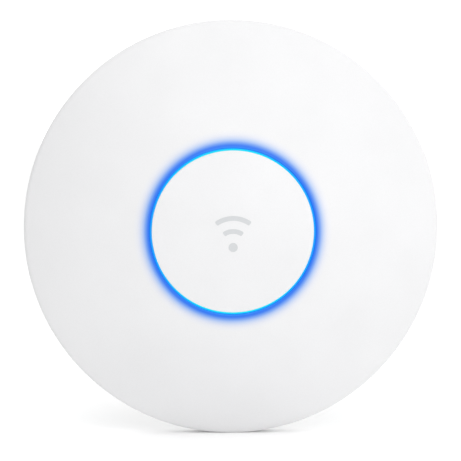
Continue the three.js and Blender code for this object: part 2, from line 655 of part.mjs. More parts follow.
/** Clip that closes the cable exit in the rim: a curved outer wall on two snap legs. */
function exitCover() {
  const half = EXIT_X - GAP;
  const legT = 1.4;
  const y = [BACK_Y, EXIT_Y + GAP];
  const pastRim = [1, RIM_FRONT_Y - 1];
  const outerWall = block([-half, half], y, [OUTER_R - 4, OUTER_R + 1]);
  const legZ = [CHANNEL_Z + 2, OUTER_R - 1];
  const legs = [-1, 1].map((side) => block([side * half, side * (half - legT)], y, legZ));
  const rim = ring(OUTER_R - WALL, OUTER_R, ...pastRim);
  const inside = pinY(OUTER_R, [0, 0], pastRim, ROUND);
  return outerWall.intersect(rim).add(join(legs.map((leg) => leg.intersect(inside))));
}

// ---------------------------------------------------------------- bracket
/** Wall or ceiling plate: screw holes, cable window, four tabs with stops and the lever's post. */
function mountingBracket() {
  const through = [1, BRACKET_RIM_Y - 1];
  const disc = pinY(BRACKET_R, [0, 0], [0, BRACKET_Y], ROUND);
  const rim = ring(BRACKET_R - BRACKET_RIM_W, BRACKET_R, -1, BRACKET_RIM_Y);
  const tabs = TABS.flatMap((angle) => {
    const start = angle - TAB_HALF;
    return [
      sector(BRACKET_R - 2, TAB_R, start - TAB_STOP, angle + TAB_HALF, TAB_BACK_Y, BRACKET_RIM_Y),
      sector(BRACKET_R - 2, TAB_R, start - TAB_STOP, start - 0.5, BACK_Y, BRACKET_RIM_Y),
    ];
  });
  const pocketX = [LEVER_PIVOT[0] - 4.5, LEVER_PIVOT[0] + 6.5];
  const pocketZ = [LEVER_PIVOT[1] - 7, LEVER_NOSE[1] + 6];
  const leverPocket = block(pocketX, [BRACKET_Y, through[1]], pocketZ);
  const post = pinY(LEVER_POST_R, LEVER_PIVOT, [-1, BRACKET_RIM_Y - 0.2]);
  const { middle, width, height, corner } = BRACKET_WINDOW;
  const window = plate(roundedRectangle(middle, width, height, corner), ...through, 5);
  const { pcd, radius, facets } = BRACKET_HOLES;
  const holes = TABS.map((angle) => pinY(radius, polar(pcd / 2, angle), through, facets));
  return cut(join([disc, rim, ...tabs]), [leverPocket, window, ...holes]).add(post);
}

/** Lock lever on its post: an eye, an arm, a nose for the notch and a thumb tail. */
function lockLever() {
  const y = [TAB_BACK_Y, BRACKET_RIM_Y];
  const [px, pz] = LEVER_PIVOT;
  const [nx, nz] = LEVER_NOSE;
  const noseR = 1;
  const armWidth = 2.2;
  const reach = Math.hypot(nx - px, nz - pz) - noseR;
  const lean = Math.atan2(nz - pz, nx - px);
  const arm = new THREE.BoxGeometry(reach, y[0] - y[1], armWidth);
  arm.translate(reach / 2, (y[0] + y[1]) / 2, 0).rotateY(-lean).translate(px, 0, pz);
  const nose = pinY(noseR, [nx - noseR, nz - 0.4], y);
  const tail = block([px - 3.6, px + 1], y, [pz - 5.6, pz]);
  const eye = pinY(2 * LEVER_POST_R, LEVER_PIVOT, y);
  const bore = pinY(LEVER_POST_R + GAP, LEVER_PIVOT, [y[0] + 1, y[1] - 1]);
  return join([solid(arm), eye, nose, tail]).subtract(bore);
}

// ---------------------------------------------------------------- the assembly
/** Cover, cap, emblem, light guide and the ring board with its LEDs and screws. */
function frontAssembly() {
  const group = new THREE.Group();
  group.add(
    piece("front_cover", frontCover(), FINISH.whitePlastic),
    piece("centre_cap", centreCap(), FINISH.whitePlastic),
    piece("light_guide_ring", lightGuide(), FINISH.clearAcrylic),
    piece("led_ring_board", ledBoard(), FINISH.whiteBoard),
  );
  emblemShapes(0).forEach(([name, shape]) => {
    group.add(piece(name, plate(shape, -DEPTH + EMBLEM_DEPTH, -DEPTH), FINISH.printGrey));
  });
  const ledY = [LED_BOARD_FRONT_Y - SEAT, LED_BOARD_FRONT_Y - SEAT - LED_HEIGHT];
  ledAngles().forEach((angle, i) => {
    const led = radialBlock(angle, [LED_CIRCLE_R - LED_HALF, LED_CIRCLE_R + LED_HALF], ledY, LED_HALF);
    group.add(piece(`led_${i + 1}`, led, FINISH.led));
  });
  const capScrew = { headR: 2, headT: 1.3, shankR: 0.95 };
  CAP_SCREW_ANGLES.forEach((angle, i) => {
    const tipY = CAP_SCREW_HOLE_Y + 0.8;
    const body = screw(polar(CAP_SCREW_R, angle), LED_BOARD_Y + SEAT, tipY, capScrew);
    group.add(piece(`cap_screw_${i + 1}`, body, FINISH.steel));
  });
  return group;
}

/** Main board with everything that is soldered, screwed or stuck to it. */
function boardAssembly() {
  const group = new THREE.Group();
  const add = (name, body, material) => group.add(piece(name, body, material));
  add("main_board", mainBoard(), FINISH.circuitBoard);
  add("heat_spreader", heatSpreader(), FINISH.aluminium);
  Object.entries(JACK_X).forEach(([role, x]) => {
    const transformer = onBoard([x, JACK_TRANSFORMER.z], JACK_TRANSFORMER, true);
    add(`ethernet_jack_${role}`, ethernetJack(x), FINISH.nickel);
    add(`jack_contacts_${role}`, jackContacts(x), FINISH.gold);
    add(`ethernet_transformer_${role}`, transformer, FINISH.chip);
  });
  add("processor", onBoard(PROCESSOR.at, PROCESSOR), FINISH.chip);
  add("memory_chip", onBoard(MEMORY.at, MEMORY), FINISH.chip);
  const processorPad = thermalPad(PROCESSOR.at, PADS.processor, PROCESSOR.height);
  add("thermal_pad_processor", processorPad, FINISH.thermalPad);
  Object.entries(RADIO_X).forEach(([band, x]) => {
    add(`radio_chip_${band}`, onBoard([x, RADIO_Z], RADIO_CHIP), FINISH.chip);
    add(`radio_shield_${band}`, shieldCan([x, RADIO_Z]), FINISH.tinplate);
    add(`thermal_pad_${band}`, thermalPad([x, RADIO_Z], PADS.radio, SHIELD.height), FINISH.thermalPad);
  });
  Object.entries(ANTENNAS).forEach(([band, design]) => {
    design.angles.forEach((angle, i) => {
      add(`antenna_${band}_${i + 1}`, antenna(angle, design), FINISH.tinplate);
    });
  });
  add("power_transformer", onBoard(POWER_TRANSFORMER.at, POWER_TRANSFORMER, true), FINISH.copperWound);
  const canY = [BOARD_Y + SEAT, BOARD_Y + POWER_CAPACITOR.height];
  add("power_capacitor", pinY(POWER_CAPACITOR.radius, POWER_CAPACITOR.at, canY), FINISH.capacitor);
  add("reset_switch", resetSwitch(), FINISH.chip);
  add("led_ribbon_socket", onBoard(RIBBON_SOCKET.at, RIBBON_SOCKET), FINISH.socket);
  add("led_ribbon_cable", ledRibbon(), FINISH.ribbon);
  const boardScrew = { headR: 2.8, headT: 1.9, shankR: 1.4 };
  BOARD_SCREW_ANGLES.forEach((angle, i) => {
    const seatY = BOARD_FRONT_Y - SPREADER_FOOT_T - SEAT;
    const body = screw(polar(BOARD_SCREW_R, angle), seatY, RECESS_Y - HOUSING_WALL - GAP, boardScrew);
    add(`board_screw_${i + 1}`, body, FINISH.steel);
  });
  return group;
}

/** Push switch behind the board, bored for the plunger that reaches it from the bay. */
function resetSwitch() {
  const half = 3;
  const z = [BAY_OUTER_Z[0] - 6, BAY_OUTER_Z[0] - 1];
  const body = block([RESET.x - half, RESET.x + half], [BOARD_Y + SEAT, BOARD_Y + 4], z);
  return body.subtract(pinZ(RESET.radius + GAP, [RESET.x, RESET.y], [z[1] - 2.4, z[1] + 1]));
}

/** Housing with its tray, trough, clip, plunger and label, and the bracket with its lever. */
function backAssembly() {
  const group = new THREE.Group();
  const plungerZ = [BAY_Z[0] - 4.4, BAY_Z[0] + 0.6];
  const label = roundedRectangle([0, LABEL.z], LABEL.width, LABEL.height, LABEL.corner);
  group.add(
    piece("back_housing", backHousing(), FINISH.backPlastic),
    piece("port_bay_tray", portBayTray(), FINISH.backPlastic),
    piece("cable_trough", cableTrough(), FINISH.backPlastic),
    piece("cable_exit_cover", exitCover(), FINISH.whitePlastic),
    piece("reset_plunger", pinZ(RESET.radius, [RESET.x, RESET.y], plungerZ), FINISH.button),
    piece("blank_rating_label", plate(label, BACK_Y + 0.25, BACK_Y + 0.02, 5), FINISH.label),
    piece("mounting_bracket", mountingBracket(), FINISH.bracketPlastic),
    piece("lock_lever", lockLever(), FINISH.bracketPlastic),
  );
  return group;
}

const accessPoint = new THREE.Group();
accessPoint.add(frontAssembly(), boardAssembly(), backAssembly());

export default accessPoint;
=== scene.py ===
"""Round indoor access point with a lit ring: the visible pieces and finishes on its frame.

Lengths are in metres. The turning axis is Y, the lit front looks along -Y and Z is up.
"""

from __future__ import annotations

import logging
import math
from dataclasses import dataclass
from enum import Enum
from functools import cache
from typing import Mapping, Sequence, Union

import bpy
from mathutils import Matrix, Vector


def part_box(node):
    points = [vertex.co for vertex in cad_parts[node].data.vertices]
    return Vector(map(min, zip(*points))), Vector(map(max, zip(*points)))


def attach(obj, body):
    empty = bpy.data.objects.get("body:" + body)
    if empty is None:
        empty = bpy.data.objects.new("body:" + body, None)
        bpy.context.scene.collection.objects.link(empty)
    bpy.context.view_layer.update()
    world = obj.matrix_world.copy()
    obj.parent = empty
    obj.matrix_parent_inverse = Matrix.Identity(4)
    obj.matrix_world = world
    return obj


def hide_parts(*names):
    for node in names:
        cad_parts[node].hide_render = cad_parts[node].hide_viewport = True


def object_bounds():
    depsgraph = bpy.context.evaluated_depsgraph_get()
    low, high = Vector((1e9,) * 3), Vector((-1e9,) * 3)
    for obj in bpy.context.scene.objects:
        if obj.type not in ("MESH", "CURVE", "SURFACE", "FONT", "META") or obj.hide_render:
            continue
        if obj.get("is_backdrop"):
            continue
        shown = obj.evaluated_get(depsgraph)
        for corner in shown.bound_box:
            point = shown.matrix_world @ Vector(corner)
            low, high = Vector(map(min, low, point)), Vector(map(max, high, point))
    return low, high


LOG = logging.getLogger("access_point")
MM = 0.001
TURN_STEPS = 256
ARC_STEPS = 5
AXIS = (0.0, 1.0, 0.0)
QUARTERS = (45, 135, 225, 315)
BOARD_SCREW_ANGLES = (30, 150, 225, 315)
CAP_SCREW_ANGLES = (90, 210, 330)
LAMP_ANGLES = tuple(22.5 + 45 * i for i in range(8))

Socket = bpy.types.NodeSocket
Setting = Union[float, int, str, bool, tuple, Socket]
Outline = list[tuple[float, float]]
Place = tuple[float, float]
Span = tuple[float, float]


class Cut(Enum):
    """Ways in which one solid changes another."""

    JOIN = "UNION"
    REMOVE = "DIFFERENCE"


class Body(Enum):
    """Rigid bodies of the frame that pieces ride on."""

    BRACKET = "bracket"
    ACCESS_POINT = "access_point"
    LEVER = "lock_lever"
    RESET = "reset_button"
    EXIT_CLIP = "cable_exit_clip"


# ------------------------------------------------------------------ outlines


@dataclass(frozen=True)
class Corner:
    """Corner of a closed outline, with the radius that rounds it."""

    u: float
    v: float
    fillet: float = 0.0


def rounded(corners: Sequence[Corner], steps: int = ARC_STEPS) -> Outline:
    """Turns corners into the points of a closed outline with its fillets.

    Args:
        corners: the outline's corners in order.
        steps: straight stretches in each fillet.

    Returns:
        The outline's points.
    """
    points: Outline = []
    for i, corner in enumerate(corners):
        here = Vector((corner.u, corner.v))
        if corner.fillet <= 0:
            points.append((corner.u, corner.v))
            continue
        last, following = corners[i - 1], corners[(i + 1) % len(corners)]
        to_last = (Vector((last.u, last.v)) - here).normalized()
        to_next = (Vector((following.u, following.v)) - here).normalized()
        half = to_last.angle(to_next) / 2
        middle = here + (to_last + to_next).normalized() * corner.fillet / math.sin(half)
        start = here + to_last * corner.fillet / math.tan(half) - middle
        end = here + to_next * corner.fillet / math.tan(half) - middle
        for step in range(steps + 1):
            arm = start.normalized().slerp(end.normalized(), step / steps) * corner.fillet
            points.append((middle.x + arm.x, middle.y + arm.y))
    return points


def sphere_height(apex: float, radius: float, r: float) -> float:
    """Returns the y of a sphere that crosses the axis at apex, at r from the axis."""
    return apex + radius - math.sqrt(radius * radius - r * r)


def sphere_corners(apex: float, radius: float, start: float, end: float, count: int) -> list[Corner]:
    """Returns evenly spaced corners along a sphere from one distance to another."""
    distances = [start + (end - start) * i / count for i in range(count + 1)]
    return [Corner(r, sphere_height(apex, radius, r)) for r in distances]


def polar(radius: float, degrees: float) -> Place:
    """Returns x and z at a radius and an angle counted from +X towards +Z."""
    return radius * math.cos(math.radians(degrees)), radius * math.sin(math.radians(degrees))


def arc_points(radius: float, start: float, end: float, steps: int) -> Outline:
    """Returns x and z along an arc round the axis, between two angles in degrees."""
    return [polar(radius, start + (end - start) * i / steps) for i in range(steps + 1)]


# ------------------------------------------------------------------ modelling


def clear_selection() -> None:
    """Leaves object mode with nothing selected, so an operator acts on the new piece alone."""
    if bpy.context.object and bpy.context.object.mode != "OBJECT":
        bpy.ops.object.mode_set(mode="OBJECT")
    bpy.ops.object.select_all(action="DESELECT")


def make_active(piece: bpy.types.Object) -> None:
    """Selects one piece alone and makes it the active one."""
    clear_selection()
    piece.select_set(True)
    bpy.context.view_layer.objects.active = piece


def draw(name: str, points: Sequence[Vector]) -> bpy.types.Object:
    """Draws a closed line by extruding one vertex from point to point.

    Args:
        name: the new object's name.
        points: corners of the line in order.

    Returns:
        The object, left in edit mode with the whole line selected.
    """
    clear_selection()
    bpy.ops.mesh.primitive_plane_add(size=MM, location=(0, 0, 0))
    piece = bpy.context.object
    piece.name = piece.data.name = name
    bpy.ops.object.mode_set(mode="EDIT")
    bpy.ops.mesh.merge(type="CENTER")
    bpy.ops.transform.translate(value=points[0])
    for start, end in zip(points, points[1:]):
        bpy.ops.mesh.extrude_vertices_move(TRANSFORM_OT_translate={"value": end - start})
    bpy.ops.object.mode_set(mode="OBJECT")
    vertices = piece.data.vertices
    for vertex in vertices:
        vertex.select = vertex.index in (0, len(vertices) - 1)
    bpy.ops.object.mode_set(mode="EDIT")
    bpy.ops.mesh.edge_face_add()
    bpy.ops.mesh.select_all(action="SELECT")
    return piece


def turned(name: str, outline: Outline, steps: int = TURN_STEPS) -> bpy.types.Object:
    """Spins a closed outline of (radius, y) points into a turned piece."""
    piece = draw(name, [Vector((r, y, 0.0)) for r, y in outline])
    bpy.ops.mesh.spin(steps=steps, angle=2 * math.pi, center=(0, 0, 0), axis=AXIS)
    bpy.ops.mesh.select_all(action="SELECT")
    bpy.ops.mesh.remove_doubles(threshold=MM / 1000)
    bpy.ops.mesh.delete_loose()
    bpy.ops.mesh.select_all(action="SELECT")
    bpy.ops.mesh.normals_make_consistent(inside=False)
    bpy.ops.object.mode_set(mode="OBJECT")
    return piece


def slab(name: str, outline: Outline, back: float, front: float) -> bpy.types.Object:
    """Gives an outline of (x, z) points thickness from plane y = back to y = front."""
    piece = draw(name, [Vector((x, back, z)) for x, z in outline])
    bpy.ops.mesh.edge_face_add()
    bpy.ops.mesh.extrude_region_move(TRANSFORM_OT_translate={"value": (0, front - back, 0)})
    bpy.ops.mesh.select_all(action="SELECT")
    bpy.ops.mesh.normals_make_consistent(inside=False)
    bpy.ops.object.mode_set(mode="OBJECT")
    return piece


def box_outline(x: Span, z: Span, fillet: float = 0.0) -> Outline:
    """Returns the outline of a rectangle with rounded corners."""
    return rounded([Corner(x[0], z[0], fillet), Corner(x[1], z[0], fillet),
                    Corner(x[1], z[1], fillet), Corner(x[0], z[1], fillet)])


def sector_outline(inner: float, outer: float, start: float, end: float, steps: int = 16) -> Outline:
    """Returns the outline between two radii and two angles in degrees."""
    return arc_points(outer, start, end, steps) + arc_points(inner, end, start, steps)


def pin(name: str, radius: float, place: Place, back: float, front: float,
        vertices: int = 48) -> bpy.types.Object:
    """Adds a round bar along Y, between two planes, at an x and z."""
    clear_selection()
    bpy.ops.mesh.primitive_cylinder_add(
        vertices=vertices, radius=radius, depth=abs(back - front),
        location=(place[0], (back + front) / 2, place[1]), rotation=(math.pi / 2, 0, 0),
    )
    piece = bpy.context.object
    piece.name = piece.data.name = name
    bpy.ops.object.transform_apply(location=True, rotation=True, scale=True)
    return piece


def bore(name: str, radius: float, place: Place, wall: Span, chamfer: float) -> bpy.types.Object:
    """Makes a tool that drills a round hole along Y and breaks the edges of both its mouths.

    Args:
        name: the tool's name.
        radius: the hole's radius.
        place: the hole's x and z.
        wall: back and front y of the wall that it goes through.
        chamfer: width of the broken edges.

    Returns:
        The tool, to be cut from a piece.
    """
    back, front, over = wall[0], wall[1], MM
    wide = radius + chamfer + over
    tool = turned(name, [(0, back + over), (wide, back + over), (radius, back - chamfer),
                         (radius, front + chamfer), (wide, front - over), (0, front - over)], 48)
    return moved(tool, place)


def combine(target: bpy.types.Object, tools: Sequence[bpy.types.Object], how: Cut) -> None:
    """Joins tools to a piece, or cuts them from it, and removes the tools.

    Args:
        target: the piece that changes.
        tools: solids that don't meet one another, or that are handled one by one.
        how: the change to make.
    """
    for tool in tools:
        make_active(target)
        change = target.modifiers.new(how.name, "BOOLEAN")
        change.object = tool
        change.operation = how.value
        change.solver = "EXACT"
        bpy.ops.object.modifier_apply(modifier=change.name)
        bpy.data.objects.remove(tool)


def gathered(name: str, tools: Sequence[bpy.types.Object]) -> bpy.types.Object:
    """Makes one tool of several that stay clear of one another."""
    clear_selection()
    for tool in tools:
        tool.select_set(True)
    bpy.context.view_layer.objects.active = tools[0]
    bpy.ops.object.join()
    tools[0].name = name
    return tools[0]


def soften(piece: bpy.types.Object, width: float, segments: int = 2, angle: float = 35.0) -> None:
    """Rounds a piece's sharp edges by a bevel that is applied."""
    make_active(piece)
    bevel = piece.modifiers.new("edge_round", "BEVEL")
    bevel.width = width
    bevel.segments = segments
    bevel.limit_method = "ANGLE"
    bevel.angle_limit = math.radians(angle)
    bpy.ops.object.modifier_apply(modifier=bevel.name)


def moved(piece: bpy.types.Object, place: Place) -> bpy.types.Object:
    """Moves a piece that was made on the axis to an x and z, and keeps the place in its mesh."""
    make_active(piece)
    bpy.ops.transform.translate(value=(place[0], 0.0, place[1]))
    bpy.ops.object.transform_apply(location=True, rotation=True, scale=True)
    return piece


def refined(node: str, name: str, width: float) -> bpy.types.Object:
    """Copies a plain node of the frame, merges its triangles into faces and rounds its edges.

    Args:
        node: the frame's node.
        name: the new piece's name.
        width: width of the rounding.

    Returns:
        The copy, ready for its finish.
    """
    piece = bpy.data.objects.new(name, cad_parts[node].data.copy())
    bpy.context.scene.collection.objects.link(piece)
    make_active(piece)
    bpy.ops.object.mode_set(mode="EDIT")
    bpy.ops.mesh.select_all(action="SELECT")
    bpy.ops.mesh.remove_doubles(threshold=MM / 200)
    bpy.ops.mesh.dissolve_limited(angle_limit=math.radians(1.0))
    bpy.ops.object.mode_set(mode="OBJECT")
    soften(piece, width, 2, 30.0)
    smooth(piece)
    return piece


def smooth(piece: bpy.types.Object, angle: float = 30.0) -> None:
    """Shades a piece smooth, but for its edges sharper than the angle in degrees."""
    make_active(piece)
    bpy.ops.object.shade_smooth_by_angle(angle=math.radians(angle))


def coat(piece: bpy.types.Object, material: bpy.types.Material) -> None:
    """Gives a piece one material all over."""
    piece.data.materials.clear()
    piece.data.materials.append(material)


def fit(piece: bpy.types.Object, body: Body, slot: str, *nodes: str) -> None:
    """Puts a finished piece on its body, in place of the frame's nodes."""
    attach(piece, body.value)
    if nodes:
        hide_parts(*nodes)
    LOG.info("%s: %d faces on %s", piece.name, len(piece.data.polygons), body.value)


# ------------------------------------------------------------------ finishes


def linear(colour: str) -> tuple[float, float, float, float]:
    """Turns an sRGB hex colour such as "f2f3f3" into linear RGBA."""
    channels = [int(colour[i:i + 2], 16) / 255 for i in (0, 2, 4)]
    turned_back = [c / 12.92 if c <= 0.04045 else ((c + 0.055) / 1.055) ** 2.4 for c in channels]
    return (*turned_back, 1.0)


def add_node(tree: bpy.types.NodeTree, kind: str, inputs: Mapping[object, Setting] | None = None,
             stops: Sequence[tuple[float, tuple[float, ...]]] = (), **settings: Setting) -> bpy.types.Node:
    """Adds a shader node, with its settings made and its inputs set or linked.

    Args:
        tree: the material's node tree.
        kind: the node's type, such as "ShaderNodeTexNoise".
        inputs: input name or number to a value, or to the output that feeds it.
        stops: position and linear colour of each stop, where the node has a colour ramp.
        settings: the node's own properties.

    Returns:
        The new node.
    """
    node = tree.nodes.new(kind)
    for name, value in settings.items():
        setattr(node, name, value)
    for key, value in (inputs or {}).items():
        if isinstance(value, Socket):
            tree.links.new(value, node.inputs[key])
        else:
            node.inputs[key].default_value = value
    if stops:
        elements = node.color_ramp.elements
        while len(elements) < len(stops):
            elements.new(0.5)
        for element, (position, colour) in zip(elements, stops):
            element.position = position
            element.color = colour
    return node


@dataclass(frozen=True)
class Finish:
    """What every finish has: a name, a colour and the size of its surface grain."""

    name: str
    colour: str
    roughness: float = 0.5
    metallic: float = 0.0
    ior: float = 1.5
    grain_mm: float = 0.6
    grain_height_mm: float = 0.012
    mottle: float = 0.03
    wear: float = 0.06
    sheen: float = 0.5

    @cache
    def build(self) -> bpy.types.Material:
        """Makes the material once.

        Returns:
            The node material, named after the finish.
        """
        material = bpy.data.materials.new(self.name)
        material.use_nodes = True
        tree = material.node_tree
        tree.nodes.clear()
        place = add_node(tree, "ShaderNodeTexCoord").outputs["Object"]
        inputs = self.channels(tree, place) | {"Metallic": self.metallic}
        if self.metallic == 0:
            inputs |= {"IOR": self.ior, "Specular IOR Level": self.sheen}
        shader = add_node(tree, "ShaderNodeBsdfPrincipled", inputs)
        add_node(tree, "ShaderNodeOutputMaterial", {"Surface": shader.outputs["BSDF"]})
        return material

    def channels(self, tree: bpy.types.NodeTree, place: Socket) -> dict[str, Setting]:
        """Works out what feeds the shader.

        Args:
            tree: the material's node tree.
            place: the object coordinates, in metres.

        Returns:
            Shader input names to the outputs or values that feed them.
        """
        return {"Base Color": self.tinted(tree, place), "Roughness": self.rubbed(tree, place),
                "Normal": self.relief(tree, place)}

    def tinted(self, tree: bpy.types.NodeTree, place: Socket) -> Socket:
        """Returns the colour, a little lighter and darker in broad patches and fine grain."""
        broad = add_node(tree, "ShaderNodeTexNoise", {
            "Vector": place, "Scale": 1 / (30 * MM), "Detail": 2.0})
        fine = add_node(tree, "ShaderNodeTexNoise", {
            "Vector": place, "Scale": 1 / (self.grain_mm * MM), "Detail": 3.0, "Roughness": 0.6})
        both = add_node(tree, "ShaderNodeMath", {0: broad.outputs["Fac"], 1: fine.outputs["Fac"]},
                        operation="ADD")
        shade = add_node(tree, "ShaderNodeMapRange", {
            "Value": both.outputs[0], "From Min": 0.6, "From Max": 1.4,
            "To Min": 1 - self.mottle, "To Max": 1 + self.mottle})
        colour = add_node(tree, "ShaderNodeVectorMath", {
            0: linear(self.colour)[:3], "Scale": shade.outputs["Result"]}, operation="SCALE")
        return colour.outputs["Vector"]

    def patches(self, tree: bpy.types.NodeTree, place: Socket) -> Socket:
        """Returns the noise that says where handling has polished the surface a little."""
        return add_node(tree, "ShaderNodeTexNoise", {
            "Vector": place, "Scale": 1 / (18 * MM), "Detail": 4.0, "Roughness": 0.6}).outputs["Fac"]

    def grain(self, tree: bpy.types.NodeTree, place: Socket) -> Socket:
        """Returns the noise that the surface is raised by."""
        return add_node(tree, "ShaderNodeTexNoise", {
            "Vector": place, "Scale": 1 / (self.grain_mm * MM), "Detail": 2.0}).outputs["Fac"]

    def rubbed(self, tree: bpy.types.NodeTree, place: Socket) -> Socket:
        """Returns the roughness, lower and higher in patches."""
        return add_node(tree, "ShaderNodeMapRange", {
            "Value": self.patches(tree, place), "From Min": 0.3, "From Max": 0.7,
            "To Min": self.roughness - self.wear, "To Max": self.roughness + self.wear,
        }).outputs["Result"]

    def relief(self, tree: bpy.types.NodeTree, place: Socket) -> Socket:
        """Returns the surface normal with the grain raised on it."""
        return add_node(tree, "ShaderNodeBump", {
            "Height": self.grain(tree, place), "Strength": 1.0, "Distance": self.grain_height_mm * MM,
        }).outputs["Normal"]


@dataclass(frozen=True)
class GlowStop:
    """Colour seen on the plastic with its painted glow, at a distance from the axis, in millimetres."""

    radius_mm: float
    colour: str


@dataclass(frozen=True)
class PaintedGlowPlastic(Finish):
    """White moulded plastic with a painted glow: the ring's light, painted on by distance from the axis.

    Near the ring, part of the colour seen is painted glow in the emission and the rest is daylight given
    back by painted blue in the base colour. On the front cover this paints the ring's light spilling onto
    plain white plastic; on the light guide it stands for the lamp's own light. Daylight on plain plastic
    looks as bright as "daylight".
    the tinted plastic gives back. Daylight on plain plastic looks as bright as "daylight".
    """

    stops: tuple[GlowStop, ...] = ()
    lean_mm: float = 0.35
    painted_glow_share: float = 0.8
    daylight: float = 0.92

    def radius(self, tree: bpy.types.NodeTree, place: Socket) -> Socket:
        """Returns the distance from the axis in millimetres, drawn in at the top and bottom.

        The ring's lamps throw further up and down than sideways, so the glow's distance is
        made shorter there by lean_mm.
        """
        flat = add_node(tree, "ShaderNodeVectorMath", {0: place, 1: (1 / MM, 0.0, 1 / MM)},
                        operation="MULTIPLY").outputs["Vector"]
        away = add_node(tree, "ShaderNodeVectorMath", {0: flat}, operation="LENGTH").outputs["Value"]
        parts = add_node(tree, "ShaderNodeSeparateXYZ", {0: flat}).outputs
        upright = add_node(tree, "ShaderNodeMath", {0: parts["Z"], 1: away}, operation="DIVIDE").outputs[0]
        square = add_node(tree, "ShaderNodeMath", {0: upright, 1: upright}, operation="MULTIPLY").outputs[0]
        pull = add_node(tree, "ShaderNodeMath", {0: square, 1: -2 * self.lean_mm, 2: self.lean_mm},
                        operation="MULTIPLY_ADD").outputs[0]
        return add_node(tree, "ShaderNodeMath", {0: away, 1: pull}, operation="ADD").outputs[0]

    def shares(self, colour: str) -> tuple[tuple[float, ...], tuple[float, ...]]:
        """Splits a seen colour into painted blue for the base colour and painted glow for the emission.

        Args:
            colour: sRGB hex colour as it is seen.

        Returns:
            The painted base colour and the painted glow, both linear RGBA.
        """
        seen = linear(colour)
        share = self.painted_glow_share * (1 - seen[0])
        painted_tint = [min(1.0, part * (1 - share) / self.daylight) for part in seen[:3]]
        # Painted glow: the part of the seen colour that is given as emission.
        own = [part * share for part in seen[:3]]
        return (*painted_tint, 1.0), (*own, 1.0)

    def channels(self, tree: bpy.types.NodeTree, place: Socket) -> dict[str, Setting]:
        """Works out what feeds the shader, with the painted glow laid over the plain plastic.

        Args:
            tree: the material's node tree.
            place: the object coordinates, in metres.

        Returns:
            Shader input names to the outputs or values that feed them.
        """
        plain = super().channels(tree, place)
        near, far = self.stops[0].radius_mm, self.stops[-1].radius_mm
        # Painted glow by distance from the axis: base colour multiplied towards blue and emission added,
        # standing in for the ring's light.
        share = add_node(tree, "ShaderNodeMapRange", {
            "Value": self.radius(tree, place), "From Min": near, "From Max": far}).outputs["Result"]
        places = [(stop.radius_mm - near) / (far - near) for stop in self.stops]
        painted_tints, lights = zip(*(self.shares(stop.colour) for stop in self.stops))
        painted_tint = add_node(tree, "ShaderNodeValToRGB", {"Fac": share}, list(zip(places, painted_tints)))
        light = add_node(tree, "ShaderNodeValToRGB", {"Fac": share}, list(zip(places, lights)))
        base = add_node(tree, "ShaderNodeMixRGB", {
            "Fac": 1.0, "Color1": plain["Base Color"], "Color2": painted_tint.outputs["Color"]},
            blend_type="MULTIPLY")
        return plain | {"Base Color": base.outputs["Color"], "Emission Color": light.outputs["Color"],
                        "Emission Strength": 1.0}


@dataclass(frozen=True)
class RolledSheet(Finish):
    """Metal sheet with fine rolling lines along X."""

    line_mm: float = 0.3
    line_ratio: float = 30.0

    def grain(self, tree: bpy.types.NodeTree, place: Socket) -> Socket:
        """Returns noise drawn out along X, as rolling leaves it."""
        drawn_out = add_node(tree, "ShaderNodeMapping", {
            "Vector": place, "Scale": (1 / self.line_ratio, 1.0, 1.0)})
        return add_node(tree, "ShaderNodeTexNoise", {
            "Vector": drawn_out.outputs["Vector"], "Scale": 1 / (self.line_mm * MM), "Detail": 2.0,
        }).outputs["Fac"]

    def patches(self, tree: bpy.types.NodeTree, place: Socket) -> Socket:
        """Returns the rolling lines, which streak the roughness as well."""
        return self.grain(tree, place)


@dataclass(frozen=True)
class BoardLacquer(Finish):
    """Solder mask over copper tracks, with bare plated holes between them."""

    track: str = "2c7a50"
    hole: str = "c9a44e"
    track_pitch_mm: float = 1.4
    track_length_mm: float = 9.0
    hole_pitch_mm: float = 5.0

    def tinted(self, tree: bpy.types.NodeTree, place: Socket) -> Socket:
        """Returns the lacquer's colour with tracks and holes showing in it."""
        parts = add_node(tree, "ShaderNodeSeparateXYZ", {0: place}).outputs
        flat = add_node(tree, "ShaderNodeCombineXYZ", {"X": parts["X"], "Y": parts["Z"]}).outputs["Vector"]
        tracks = add_node(tree, "ShaderNodeTexBrick", {
            "Vector": flat, "Scale": 1 / MM, "Mortar Size": 0.14, "Mortar Smooth": 0.1,
            "Brick Width": self.track_length_mm, "Row Height": self.track_pitch_mm})
        cells = add_node(tree, "ShaderNodeTexVoronoi", {
            "Vector": flat, "Scale": 1 / (self.hole_pitch_mm * MM), "Randomness": 0.8},
            voronoi_dimensions="2D")
        holes = add_node(tree, "ShaderNodeMath", {0: cells.outputs["Distance"], 1: 0.07},
                         operation="LESS_THAN")
        tracked = add_node(tree, "ShaderNodeMixRGB", {
            "Fac": tracks.outputs["Fac"], "Color1": super().tinted(tree, place),
            "Color2": linear(self.track)})
        return add_node(tree, "ShaderNodeMixRGB", {
            "Fac": holes.outputs[0], "Color1": tracked.outputs["Color"], "Color2": linear(self.hole),
        }).outputs["Color"]


